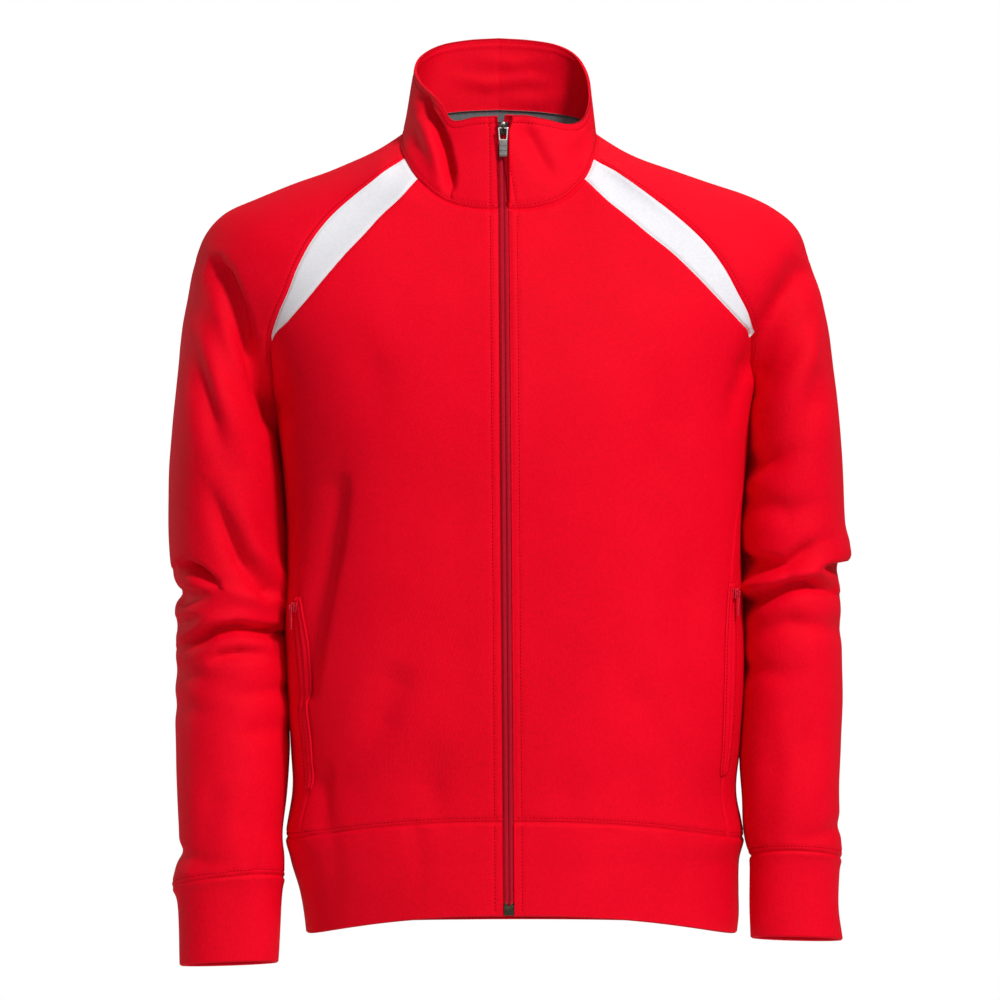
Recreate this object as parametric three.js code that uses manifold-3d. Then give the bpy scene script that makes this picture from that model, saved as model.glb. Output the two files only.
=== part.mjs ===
// Track jacket with raglan sleeves, a stand collar and zip pockets, worn shape, hollow.
// Millimetres, +Z up, front towards -Y. The origin is the middle of the neck at the
// height of the shoulder points. Sizes measured outwards are taken from the centre line.

import * as THREE from 'three';
import Module from 'manifold-3d';

const wasm = await Module();
wasm.setup();

// Cloth
const CLOTH = 1.5;             // wall of the knit
const BAND_CLOTH = 2.4;        // double cloth of the collar, hem band and cuffs
const TAPE_CLOTH = 1.0;        // neck tape
const SEAM_GAP = 0.3;          // space between two sewn pieces
const ROUND = 2.4;             // roundness of the torso sections, 2 is an ellipse
const SLEEVE_ROUND = 2.15;     // roundness of the sleeve rings

// Front zip
const ZIP_HALF = 4.2;          // half width of the coil band
const ZIP_THICK = 2.0;
const EDGE_GAP = 0.4;          // coil band to the edge of a front
const ZIP_BOX = { width: 9.0, height: 11.0, depth: 3.4, top: -649.0 };
const SLIDER_Z = 7.5;          // middle of the front slider

// Levels along the body
const UNDERARM_Z = -238;
const HEM_SEAM_Z = -601;
const HEM_Z = -683;
const HEM_SEAM_RISE = 20;      // the seam and the hem rise towards the front
const HEM_RISE = 23;
const POCKETS = { right: { top: -392, bottom: -557 }, left: { top: -380, bottom: -545 } };
const WELT_HALF = 8.5;         // half width of a pocket welt across the side seam
const WELT_CLOTH = 1.4;

// Rows and columns of the panels
const RAGLAN_ROWS = 14;        // neck to underarm
const TIP_ROW = 11;            // row at which the insert ends
const BODY_ROWS = [5, 6, 2];   // underarm to pocket, along the pocket, pocket to hem seam
const FRONT_COLUMNS = 9;
const INSERT_COLUMNS = 2;
const BACK_COLUMNS = 16;
const SLEEVE_COLUMNS = 16;
const SLEEVE_ROWS = 26;        // underarm to cuff seam
const COLLAR_ROWS = 3;
const BAND_ROWS = 3;

// Torso sections. The half width above the underarm takes in the shoulder caps.
const TORSO = [
  { z: 40, centre: -8, half: 74, front: 60, back: 69 },
  { z: 30, centre: -8, half: 80, front: 64, back: 76 },
  { z: 6, centre: -8, half: 93, front: 72, back: 86 },
  { z: -8, centre: -8, half: 110, front: 76, back: 91 },
  { z: -21, centre: -7, half: 144, front: 80, back: 96 },
  { z: -35, centre: -6, half: 182, front: 84, back: 101 },
  { z: -62, centre: -4, half: 238, front: 91, back: 110 },
  { z: -98, centre: 1, half: 262, front: 107, back: 121 },
  { z: -135, centre: 4, half: 246, front: 122, back: 129 },
  { z: -175, centre: 5, half: 224, front: 132, back: 134 },
  { z: -210, centre: 5, half: 210, front: 137, back: 135 },
  { z: -257, centre: 5, half: 203, front: 138, back: 133 },
  { z: -335, centre: 5, half: 197, front: 135, back: 126 },
  { z: -447, centre: 5, half: 200, front: 130, back: 122 },
  { z: -518, centre: 5, half: 197, front: 127, back: 121 },
  { z: -560, centre: 5, half: 193, front: 124, back: 120 },
  { z: -601, centre: 5, half: 199, front: 122, back: 120 },
  { z: -620, centre: 5, half: 195, front: 120, back: 118 },
  { z: -683, centre: 5, half: 187, front: 115, back: 114 },
];

// Neck seam from the zip to the middle of the back, and the collar's rim above it. The
// rim is folded in at the right front.
const NECK = [
  { x: 0, y: -90, z: -62 },
  { x: 28, y: -89, z: -60.5 },
  { x: 52, y: -85, z: -52.5 },
  { x: 72, y: -73, z: -34 },
  { x: 86, y: -52, z: -15 },
  { x: 92, y: -28, z: -4 },
  { x: 93, y: 0, z: 6 },
  { x: 89, y: 26, z: 13 },
  { x: 79, y: 46, z: 19 },
  { x: 66, y: 58, z: 23 },
  { x: 36, y: 71, z: 28 },
  { x: 0, y: 76, z: 30 },
];
const RIM = {
  right: [
    { x: 0, y: -80, z: 18 },
    { x: 20, y: -79, z: 17 },
    { x: 40, y: -73, z: 15 },
    { x: 50, y: -61, z: 31 },
    { x: 59, y: -44, z: 41 },
    { x: 67, y: -25, z: 50 },
    { x: 72, y: -4, z: 60 },
    { x: 73, y: 22, z: 71 },
    { x: 67, y: 45, z: 83 },
    { x: 52, y: 62, z: 92 },
    { x: 28, y: 71, z: 97 },
    { x: 0, y: 74, z: 99 },
  ],
  left: [
    { x: 0, y: -80, z: 18 },
    { x: 20, y: -79, z: 18.5 },
    { x: 40, y: -73, z: 16 },
    { x: 58, y: -60, z: 13 },
    { x: 71, y: -42, z: 17 },
    { x: 78, y: -20, z: 30 },
    { x: 80, y: 2, z: 47 },
    { x: 77, y: 26, z: 66 },
    { x: 68, y: 47, z: 82 },
    { x: 52, y: 62, z: 92 },
    { x: 28, y: 71, z: 97 },
    { x: 0, y: 74, z: 99 },
  ],
};
const NECK_MARKS = { insert: 3, sleeve: 4, back: 9, middle: 11 };

// Raglan seams from neck to underarm: both edges of the insert, and the back seam.
const RAGLAN = [
  { innerX: 72, innerZ: -34, outerX: 86, outerZ: -15, backX: 66, backZ: 23 },
  { innerX: 88, innerZ: -51, outerX: 106, outerZ: -33, backX: 80, backZ: 4 },
  { innerX: 105, innerZ: -66, outerX: 128, outerZ: -50, backX: 97, backZ: -20 },
  { innerX: 121, innerZ: -82, outerX: 149, outerZ: -68, backX: 115, backZ: -45 },
  { innerX: 139, innerZ: -99, outerX: 167, outerZ: -88, backX: 134, backZ: -73 },
  { innerX: 157, innerZ: -118, outerX: 181, outerZ: -110, backX: 152, backZ: -103 },
  { innerX: 174, innerZ: -137, outerX: 192, outerZ: -133, backX: 169, backZ: -133 },
  { innerX: 192, innerZ: -156, outerX: 202, outerZ: -153, backX: 184, backZ: -162 },
  { innerX: 208, innerZ: -173, outerX: 208, outerZ: -173, backX: 196, backZ: -190 },
  { innerX: 208, innerZ: -206, outerX: 208, outerZ: -206, backX: 204, backZ: -215 },
  { innerX: 206, innerZ: -238, outerX: 206, outerZ: -238, backX: 206, backZ: -238 },
];

// Sleeve rings on the raglan: outermost point, ring centre, half depth and middle.
const CAP = {
  right: [
    { outX: 93, outZ: 6, midX: 20, midZ: 0, deep: 84, y: 0 },
    { outX: 116, outZ: -10, midX: 50, midZ: -30, deep: 88, y: 1 },
    { outX: 146, outZ: -22, midX: 80, midZ: -55, deep: 90, y: 3 },
    { outX: 180, outZ: -35, midX: 110, midZ: -80, deep: 91, y: 5 },
    { outX: 215, outZ: -49, midX: 140, midZ: -104, deep: 91, y: 6 },
    { outX: 246, outZ: -63, midX: 168, midZ: -127, deep: 90, y: 7 },
    { outX: 268, outZ: -84, midX: 194, midZ: -147, deep: 89, y: 8 },
    { outX: 281, outZ: -111, midX: 215, midZ: -165, deep: 88, y: 8 },
    { outX: 288, outZ: -142, midX: 231, midZ: -184, deep: 87, y: 8 },
    { outX: 292, outZ: -173, midX: 242, midZ: -203, deep: 86, y: 7 },
    { outX: 295, outZ: -206, midX: 250, midZ: -222, deep: 85, y: 7 },
  ],
  left: [
    { outX: 93, outZ: 6, midX: 20, midZ: 0, deep: 84, y: 0 },
    { outX: 116, outZ: -9, midX: 50, midZ: -30, deep: 88, y: 1 },
    { outX: 146, outZ: -20, midX: 80, midZ: -55, deep: 90, y: 3 },
    { outX: 180, outZ: -33, midX: 110, midZ: -80, deep: 91, y: 5 },
    { outX: 213, outZ: -45, midX: 140, midZ: -104, deep: 91, y: 6 },
    { outX: 240, outZ: -59, midX: 166, midZ: -127, deep: 90, y: 7 },
    { outX: 257, outZ: -76, midX: 190, midZ: -147, deep: 89, y: 8 },
    { outX: 266, outZ: -106, midX: 208, midZ: -165, deep: 88, y: 8 },
    { outX: 272, outZ: -142, midX: 223, midZ: -184, deep: 87, y: 8 },
    { outX: 276, outZ: -173, midX: 234, midZ: -203, deep: 86, y: 7 },
    { outX: 281, outZ: -208, midX: 243, midZ: -222, deep: 85, y: 7 },
  ],
};

// Sleeve rings below the underarm: outer and inner side, half depth, middle and tilt.
const ARM = {
  right: [
    { outX: 295, outZ: -206, inX: 206, inZ: -238, deep: 85, y: 7, tilt: 0 },
    { outX: 299, outZ: -250, inX: 203, inZ: -268, deep: 84, y: 6, tilt: 0 },
    { outX: 301, outZ: -291, inX: 202, inZ: -300, deep: 81, y: 5, tilt: 0 },
    { outX: 300, outZ: -350, inX: 202, inZ: -350, deep: 75, y: 4, tilt: 0 },
    { outX: 297, outZ: -374, inX: 202, inZ: -374, deep: 73, y: 3, tilt: 0 },
    { outX: 290, outZ: -391, inX: 203, inZ: -391, deep: 71, y: 2, tilt: 1 },
    { outX: 295, outZ: -405, inX: 202, inZ: -405, deep: 70, y: 1, tilt: 1 },
    { outX: 294, outZ: -430, inX: 203, inZ: -430, deep: 68, y: 0, tilt: 2 },
    { outX: 294, outZ: -491, inX: 204, inZ: -491, deep: 62, y: -7, tilt: 4 },
    { outX: 292, outZ: -563, inX: 201, inZ: -559, deep: 54, y: -17, tilt: 6 },
    { outX: 289.5, outZ: -600, inX: 202, inZ: -596, deep: 50, y: -21, tilt: 7 },
    { outX: 291, outZ: -622, inX: 199, inZ: -616, deep: 46, y: -24, tilt: 7 },
    { outX: 295.5, outZ: -644, inX: 199, inZ: -635, deep: 43, y: -26, tilt: 8 },
  ],
  left: [
    { outX: 281, outZ: -208, inX: 206, inZ: -238, deep: 85, y: 7, tilt: 0 },
    { outX: 285, outZ: -250, inX: 203, inZ: -268, deep: 84, y: 6, tilt: 0 },
    { outX: 287, outZ: -291, inX: 202, inZ: -300, deep: 81, y: 5, tilt: 0 },
    { outX: 288, outZ: -328, inX: 202, inZ: -328, deep: 77, y: 4, tilt: 0 },
    { outX: 292, outZ: -350, inX: 202, inZ: -350, deep: 75, y: 3, tilt: 0 },
    { outX: 282, outZ: -372, inX: 202, inZ: -372, deep: 72, y: 2, tilt: 1 },
    { outX: 284, outZ: -392, inX: 203, inZ: -392, deep: 70, y: 1, tilt: 1 },
    { outX: 285, outZ: -440, inX: 204, inZ: -440, deep: 67, y: -2, tilt: 2 },
    { outX: 285, outZ: -480, inX: 204, inZ: -480, deep: 62, y: -6, tilt: 4 },
    { outX: 283, outZ: -530, inX: 200, inZ: -530, deep: 56, y: -13, tilt: 5 },
    { outX: 282, outZ: -568, inX: 198, inZ: -568, deep: 51, y: -19, tilt: 6 },
    { outX: 283, outZ: -596, inX: 201, inZ: -594, deep: 46, y: -22, tilt: 7 },
    { outX: 284, outZ: -619, inX: 206, inZ: -616, deep: 42, y: -24, tilt: 8 },
  ],
};

// Cuffs: the rings go on from the sleeve seam.
const CUFF = {
  right: [
    { outX: 295.5, outZ: -645, inX: 199, inZ: -636, deep: 43, y: -26, tilt: 8 },
    { outX: 290, outZ: -655, inX: 202, inZ: -650, deep: 39, y: -27, tilt: 8 },
    { outX: 288.5, outZ: -680, inX: 203, inZ: -678, deep: 37, y: -29, tilt: 7 },
    { outX: 288, outZ: -710, inX: 204.5, inZ: -707, deep: 36, y: -31, tilt: 5 },
  ],
  left: [
    { outX: 284, outZ: -620, inX: 206, inZ: -617, deep: 42, y: -24, tilt: 8 },
    { outX: 281, outZ: -632, inX: 206, inZ: -630, deep: 38, y: -25, tilt: 8 },
    { outX: 280, outZ: -662, inX: 204, inZ: -661, deep: 36, y: -27, tilt: 7 },
    { outX: 283, outZ: -688, inX: 204.5, inZ: -686, deep: 36, y: -29, tilt: 5 },
  ],
};

// Side seam: how far forward of the side it runs, as an angle from the centre front.
const SIDE_SEAM = [
  { z: -238, angle: 90 },
  { z: -290, angle: 80 },
  { z: -360, angle: 70 },
  { z: -450, angle: 66 },
  { z: -601, angle: 66 },
  { z: -683, angle: 66 },
];

// Largest folds: the line each follows, seen from the front or back, its half width
// and its depth, where a minus is a ridge. "all" crosses the raglan seams.
const FOLDS = [
  { on: 'all', face: -1, wide: 13, deep: 5, line: [[-262, -104], [-236, -138], [-208, -203]] },
  { on: 'all', face: -1, wide: 13, deep: 5, line: [[260, -106], [232, -158], [212, -200]] },
  { on: 'all', face: 1, wide: 15, deep: 5, line: [[-255, -110], [-232, -150], [-208, -205]] },
  { on: 'all', face: 1, wide: 15, deep: 5, line: [[258, -110], [234, -150], [211, -205]] },
  { on: 'arm', face: -1, wide: 14, deep: 4, line: [[-272, -198], [-262, -240], [-250, -275]] },
  { on: 'arm', face: -1, wide: 16, deep: 5, line: [[-258, -300], [-230, -355], [-212, -385]] },
  { on: 'arm', face: -1, wide: 9, deep: 5, line: [[-288, -367], [-262, -376], [-205, -396]] },
  { on: 'arm', face: -1, wide: 9, deep: -4, line: [[-285, -396], [-250, -397], [-205, -412]] },
  { on: 'arm', face: -1, wide: 8, deep: 5, line: [[-290, -430], [-250, -418], [-203, -420]] },
  { on: 'arm', face: 1, wide: 10, deep: 4, line: [[-290, -380], [-250, -388], [-205, -380]] },
  { on: 'arm', face: -1, wide: 11, deep: 5, line: [[205, -362], [240, -368], [272, -346]] },
  { on: 'arm', face: -1, wide: 9, deep: -4, line: [[208, -392], [245, -376], [285, -360]] },
  { on: 'arm', face: -1, wide: 10, deep: 5, line: [[206, -400], [245, -384], [282, -384]] },
  { on: 'arm', face: 1, wide: 10, deep: 4, line: [[206, -376], [245, -386], [286, -374]] },
  { on: 'body', face: -1, wide: 20, deep: 4, line: [[-146, -300], [-155, -400], [-172, -478]] },
  { on: 'body', face: -1, wide: 20, deep: 3, line: [[-92, -460], [-124, -530]] },
  { on: 'body', face: -1, wide: 22, deep: 3, line: [[135, -330], [128, -440], [140, -520]] },
  { on: 'body', face: 1, wide: 24, deep: 4, line: [[-60, -340], [-52, -450], [-62, -560]] },
  { on: 'body', face: 1, wide: 24, deep: 4, line: [[72, -320], [62, -430], [70, -550]] },
];
const FOLD_FADE = 45;          // height over which arm and body folds die out at the underarm

const SIDES = [
  { name: 'right', sign: -1 },
  { name: 'left', sign: 1 },
];

// Curves through tables

const lerp = (a, b, t) => a + (b - a) * t;
const clamp = (value, low, high) => Math.min(Math.max(value, low), high);
const signedPower = (value, power) => Math.sign(value) * Math.abs(value) ** power;

function smoothStep(low, high, value) {
  const t = clamp((value - low) / (high - low), 0, 1);
  return t * t * (3 - 2 * t);
}

// A smooth curve through the rows of a table, which are looked up by their own column.
function curveAt(rows, key, position, column) {
  const last = rows.length - 1;
  const direction = Math.sign(rows[1][key] - rows[0][key]);
  let i = 0;
  while (i < last - 1 && (position - rows[i + 1][key]) * direction > 0) i += 1;
  const slope = (k) => {
    const before = rows[Math.max(k - 1, 0)];
    const after = rows[Math.min(k + 1, last)];
    return (after[column] - before[column]) / (after[key] - before[key]);
  };
  const step = rows[i + 1][key] - rows[i][key];
  const t = clamp((position - rows[i][key]) / step, 0, 1);
  const t2 = t * t;
  const t3 = t2 * t;
  return (2 * t3 - 3 * t2 + 1) * rows[i][column] + (t3 - 2 * t2 + t) * step * slope(i)
    + (3 * t2 - 2 * t3) * rows[i + 1][column] + (t3 - t2) * step * slope(i + 1);
}

const numbered = (rows) => rows.map((row, n) => ({ ...row, n }));
const NECK_ROWS = numbered(NECK);
const RIM_ROWS = { right: numbered(RIM.right), left: numbered(RIM.left) };
const RAGLAN_TABLE = numbered(RAGLAN);
const CAP_ROWS = { right: numbered(CAP.right), left: numbered(CAP.left) };
const ARM_ROWS = { right: numbered(ARM.right), left: numbered(ARM.left) };
const CUFF_ROWS = { right: numbered(CUFF.right), left: numbered(CUFF.left) };

// Torso form

const centreAt = (z) => curveAt(TORSO, 'z', z, 'centre');
const halfAt = (z) => curveAt(TORSO, 'z', z, 'half');

// A point on the torso, by its angle round from the centre front (0) to the back (180).
function torsoAround(side, around, z) {
  const angle = THREE.MathUtils.degToRad(around);
  const depth = curveAt(TORSO, 'z', z, around < 90 ? 'front' : 'back');
  const x = halfAt(z) * signedPower(Math.sin(angle), 2 / ROUND);
  const y = -depth * signedPower(Math.cos(angle), 2 / ROUND);
  return new THREE.Vector3(centreAt(z) + side.sign * x, y, z);
}

// The same angle for a point that is known by how far out it is.
function aroundAt(x, z, face) {
  const share = clamp(x / halfAt(z), -1, 1);
  const angle = THREE.MathUtils.radToDeg(Math.asin(signedPower(share, ROUND / 2)));
  return face < 0 ? angle : 180 - angle;
}

const torsoPoint = (side, x, z, face) => torsoAround(side, aroundAt(x, z, face), z);

const hemRise = (around) => Math.max(Math.cos(THREE.MathUtils.degToRad(around)), 0) ** 2;
const hemSeamZ = (around) => HEM_SEAM_Z + HEM_SEAM_RISE * hemRise(around);
const hemZ = (around) => HEM_Z + HEM_RISE * hemRise(around);

// The zip leans a little from the neck to the hem.
const zipX = (z) => lerp(0.6, -4.4, clamp((z + 670) / 690, 0, 1));
const zipEdge = (side, z) => zipX(z) + side.sign * (ZIP_HALF + EDGE_GAP);
const zipEdgeOut = (side, z) => side.sign * (zipEdge(side, z) - centreAt(z));

// Seams

// Rows of the raglan seam in table rows, with a short row under the insert's tip.
const TIP = 8;
const TIP_HALF = 0.6;
const BELOW_TIP = [0.18, 1.1, 2];
function raglanStep(j) {
  if (j <= TIP_ROW) return TIP * j / TIP_ROW;
  return TIP + BELOW_TIP[j - TIP_ROW - 1];
}

function raglanPoint(side, j, edge) {
  const t = raglanStep(j);
  const column = edge === 'outer' && t > TIP ? 'inner' : edge;
  let x = curveAt(RAGLAN_TABLE, 'n', t, `${column}X`);
  const z = curveAt(RAGLAN_TABLE, 'n', t, `${column}Z`);
  if (j === TIP_ROW && edge === 'inner') x -= TIP_HALF;
  if (j === TIP_ROW && edge === 'outer') x += TIP_HALF;
  return torsoPoint(side, x, z, edge === 'back' ? 1 : -1);
}

// Heights of the rows on the side seam, which follow the pocket.
function sideLevels(side) {
  const pocket = POCKETS[side.name];
  const stops = [UNDERARM_Z, pocket.top, pocket.bottom, hemSeamZ(SIDE_SEAM.at(-1).angle)];
  const levels = [];
  BODY_ROWS.forEach((count, k) => {
    for (let i = 0; i < count; i += 1) {
      levels.push(lerp(stops[k], stops[k + 1], i / count));
    }
  });
  levels.push(stops.at(-1));
  return levels;
}

const sideAngle = (z) => curveAt(SIDE_SEAM, 'z', z, 'angle');

function sideSeam(side) {
  return sideLevels(side).map((z, k) => (
    k === 0 ? raglanPoint(side, RAGLAN_ROWS, 'inner') : torsoAround(side, sideAngle(z), z)
  ));
}

// A point on the neck seam (rise 0) or further up the collar (rise 1 at its rim).
function neckPoint(side, t, rise = 0) {
  const value = (column) => lerp(
    curveAt(NECK_ROWS, 'n', t, column), curveAt(RIM_ROWS[side.name], 'n', t, column), rise,
  );
  const x = value('x');
  const y = value('y');
  const z = value('z');
  return new THREE.Vector3(centreAt(z) + side.sign * x, y, z);
}

const neckStart = (side) => zipEdgeOut(side, NECK[0].z) / NECK[1].x;

function neckSteps(side, from, to, count) {
  const start = from === 0 ? neckStart(side) : from;
  return Array.from({ length: count + 1 }, (_, i) => lerp(start, to, i / count));
}

// Grids of points. A grid is a list of rows, each a list of points.

// Moves a grid's edges onto the given edges, and the rest less and less with distance.
function fitEdges(grid, edges, fadeAcross = 3, fadeDown = 3) {
  const rows = grid.length - 1;
  const columns = grid[0].length - 1;
  const none = new THREE.Vector3();
  const miss = (edge, k, point) => (edge?.[k] ? edge[k].clone().sub(point) : none);
  const left = grid.map((row, j) => miss(edges.left, j, row[0]));
  const right = grid.map((row, j) => miss(edges.right, j, row[columns]));
  const top = grid[0].map((point, i) => miss(edges.top, i, point));
  const bottom = grid[rows].map((point, i) => miss(edges.bottom, i, point));
  return grid.map((row, j) => row.map((point, i) => {
    const u = i / columns;
    const v = j / rows;
    const nearLeft = (1 - u) ** fadeAcross;
    const nearRight = u ** fadeAcross;
    const nearTop = (1 - v) ** fadeDown;
    const nearBottom = v ** fadeDown;
    const moved = point.clone();
    moved.addScaledVector(left[j], nearLeft).addScaledVector(right[j], nearRight);
    moved.addScaledVector(top[i], nearTop).addScaledVector(bottom[i], nearBottom);
    moved.addScaledVector(top[0], -nearLeft * nearTop);
    moved.addScaledVector(top[columns], -nearRight * nearTop);
    moved.addScaledVector(bottom[0], -nearLeft * nearBottom);
    moved.addScaledVector(bottom[columns], -nearRight * nearBottom);
    return moved;
  }));
}

// Angles of the columns between two edges, the one beside the side seam at a welt's width.
function columnAngles(side, from, to, z, count, weltAtStart) {
  const turn = Math.sign(to - from);
  const perDegree = (around) => (
    torsoAround(side, around, z).distanceTo(torsoAround(side, around - turn, z))
  );
  const last = to - turn * WELT_HALF / perDegree(to);
  const first = weltAtStart ? from + turn * WELT_HALF / perDegree(from + turn) : from;
  const inner = count - (weltAtStart ? 2 : 1);
  const angles = Array.from({ length: inner + 1 }, (_, i) => lerp(first, last, i / inner));
  return weltAtStart ? [from, ...angles, to] : [...angles, to];
}

const frontEdgeAngle = (side, z) => aroundAt(zipEdgeOut(side, z), z, -1);
const seamAngle = (side, point) => (
  aroundAt(side.sign * (point.x - centreAt(point.z)), point.z, point.y < 0 ? -1 : 1)
);

function frontGrid(side) {
  const raglan = Array.from({ length: RAGLAN_ROWS }, (_, j) => raglanPoint(side, j, 'inner'));
  const outer = [...raglan, ...sideSeam(side)];
  const rows = outer.length - 1;
  const hemAngle = frontEdgeAngle(side, HEM_SEAM_Z);
  const grid = outer.map((edge, j) => {
    const zipZ = lerp(NECK[0].z, hemSeamZ(hemAngle), j / rows);
    const angles = columnAngles(
      side, frontEdgeAngle(side, zipZ), seamAngle(side, edge), edge.z, FRONT_COLUMNS, false,
    );
    const from = angles[0];
    const to = angles.at(-1);
    return angles.map((around) => (
      torsoAround(side, around, lerp(zipZ, edge.z, (around - from) / (to - from)))
    ));
  });
  const zip = grid.map((row) => {
    const point = row[0].clone();
    point.x = zipEdge(side, point.z);
    return point;
  });
  const top = neckSteps(side, 0, NECK_MARKS.insert, FRONT_COLUMNS).map((t) => neckPoint(side, t));
  top[0].x = zipEdge(side, top[0].z);
  zip[0].copy(top[0]);
  const left = hemColumns(side, 'front').map((around) => torsoAround(side, around, hemSeamZ(around)));
  left[0].x = zipEdge(side, left[0].z);
  zip[rows].copy(left[0]);
  outer[0] = top.at(-1);
  outer[rows] = left.at(-1);
  return fitEdges(grid, { left: zip, right: outer, top, bottom: left });
}

// Angles of the columns at the hem seam, for the panels and for the band below them.
function hemColumns(side, panel) {
  const seam = SIDE_SEAM.at(-1).angle;
  if (panel === 'front') {
    const from = frontEdgeAngle(side, HEM_SEAM_Z);
    return columnAngles(side, from, seam, HEM_SEAM_Z, FRONT_COLUMNS, false);
  }
  const reversed = columnAngles(side, 180, seam, HEM_SEAM_Z, BACK_COLUMNS / 2, false);
  return reversed.reverse();
}

// The back runs from the right side seam round to the left one.
function backGrid() {
  const edges = SIDES.map((side) => {
    const raglan = Array.from({ length: RAGLAN_ROWS }, (_, j) => raglanPoint(side, j, 'back'));
    return [...raglan, ...sideSeam(side)];
  });
  const rows = edges[0].length - 1;
  const half = BACK_COLUMNS / 2;
  const grid = edges[0].map((_, j) => {
    const middleZ = lerp(NECK.at(-1).z, HEM_SEAM_Z, j / rows);
    const halves = SIDES.map((side, k) => {
      const edge = edges[k][j];
      const angles = columnAngles(side, 180, seamAngle(side, edge), edge.z, half, false);
      const to = angles.at(-1);
      return angles.map((around) => (
        torsoAround(side, around, lerp(middleZ, edge.z, (around - 180) / (to - 180)))
      ));
    });
    return [...halves[0].reverse(), ...halves[1].slice(1)];
  });
  const neck = SIDES.map((side) => (
    neckSteps(side, NECK_MARKS.back, NECK_MARKS.middle, half).map((t) => neckPoint(side, t))
  ));
  const hem = SIDES.map((side) => (
    hemColumns(side, 'back').map((around) => torsoAround(side, around, hemSeamZ(around)))
  ));
  const top = [...neck[0], ...neck[1].reverse().slice(1)];
  const bottom = [...hem[0], ...hem[1].reverse().slice(1)];
  edges[0][0] = top[0];
  edges[1][0] = top.at(-1);
  edges[0][rows] = bottom[0];
  edges[1][rows] = bottom.at(-1);
  return fitEdges(grid, { left: edges[0], right: edges[1], top, bottom });
}

function insertGrid(side) {
  const inner = Array.from({ length: TIP_ROW + 1 }, (_, j) => raglanPoint(side, j, 'inner'));
  const outer = Array.from({ length: TIP_ROW + 1 }, (_, j) => raglanPoint(side, j, 'outer'));
  const out = (point) => side.sign * (point.x - centreAt(point.z));
  const grid = inner.map((edge, j) => Array.from({ length: INSERT_COLUMNS + 1 }, (_, i) => {
    const t = i / INSERT_COLUMNS;
    const x = lerp(out(edge), out(outer[j]), t);
    return torsoPoint(side, x, lerp(edge.z, outer[j].z, t), -1);
  }));
  const steps = neckSteps(side, NECK_MARKS.insert, NECK_MARKS.sleeve, INSERT_COLUMNS);
  const top = steps.map((t) => neckPoint(side, t));
  inner[0] = top[0];
  outer[0] = top.at(-1);
  return fitEdges(grid, { left: inner, right: outer, top });
}

// A ring of the sleeve: its middle, its half width outwards, its depth and its tilt.
function sleeveRing(side, rows, t) {
  const value = (column) => curveAt(rows, 'n', t, column);
  const out = new THREE.Vector2(value('outX'), value('outZ'));
  if ('midX' in rows[0]) {
    const middle = new THREE.Vector2(value('midX'), value('midZ'));
    return { middle, reach: out.sub(middle), deep: value('deep'), y: value('y'), tilt: 0 };
  }
  const inside = new THREE.Vector2(value('inX'), value('inZ'));
  const middle = out.clone().add(inside).multiplyScalar(0.5);
  return { middle, reach: out.sub(middle), deep: value('deep'), y: value('y'), tilt: value('tilt') };
}

// A point on a ring. 0 is the outer side, -180 to 0 the front half and 0 to 180 the back.
function ringPoint(side, ring, angle) {
  const turn = THREE.MathUtils.degToRad(angle);
  const along = signedPower(Math.cos(turn), 2 / SLEEVE_ROUND);
  const across = signedPower(Math.sin(turn), 2 / SLEEVE_ROUND);
  const x = ring.middle.x + ring.reach.x * along;
  const z = ring.middle.y + ring.reach.y * along - ring.tilt * across;
  return new THREE.Vector3(centreAt(z) + side.sign * x, ring.y + ring.deep * across, z);
}

function ringAngle(side, ring, point, face) {
  const x = side.sign * (point.x - centreAt(point.z)) - ring.middle.x;
  const z = point.z - ring.middle.y;
  const along = (x * ring.reach.x + z * ring.reach.y) / ring.reach.lengthSq();
  const across = Math.abs(point.y - ring.y) / ring.deep;
  const angle = Math.atan2(
    signedPower(across, SLEEVE_ROUND / 2), signedPower(along, SLEEVE_ROUND / 2),
  );
  return face * Math.abs(THREE.MathUtils.radToDeg(angle));
}

const sleeveAngles = (from, to) => (
  Array.from({ length: SLEEVE_COLUMNS + 1 }, (_, i) => lerp(from, to, i / SLEEVE_COLUMNS))
);

function sleeveGrid(side) {
  const grid = [];
  const left = [];
  const right = [];
  for (let j = 0; j <= RAGLAN_ROWS; j += 1) {
    const ring = sleeveRing(side, CAP_ROWS[side.name], raglanStep(j));
    left.push(raglanPoint(side, j, 'outer'));
    right.push(raglanPoint(side, j, 'back'));
    const from = ringAngle(side, ring, left[j], -1);
    const to = ringAngle(side, ring, right[j], 1);
    grid.push(sleeveAngles(from, to).map((angle) => ringPoint(side, ring, angle)));
  }
  const rows = ARM_ROWS[side.name];
  for (let j = 1; j <= SLEEVE_ROWS; j += 1) {
    const ring = sleeveRing(side, rows, (rows.length - 1) * j / SLEEVE_ROWS);
    grid.push(sleeveAngles(-180, 180).map((angle) => ringPoint(side, ring, angle)));
  }
  const steps = neckSteps(side, NECK_MARKS.sleeve, NECK_MARKS.back, SLEEVE_COLUMNS);
  const top = steps.map((t) => neckPoint(side, t));
  left[0] = top[0];
  right[0] = top.at(-1);
  return fitEdges(grid, { left, right, top }, 3, 14);
}

function cuffGrid(side) {
  const rows = CUFF_ROWS[side.name];
  return Array.from({ length: BAND_ROWS + 1 }, (_, k) => {
    const ring = sleeveRing(side, rows, (rows.length - 1) * k / BAND_ROWS);
    return sleeveAngles(-180, 180).map((angle) => ringPoint(side, ring, angle));
  });
}

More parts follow.
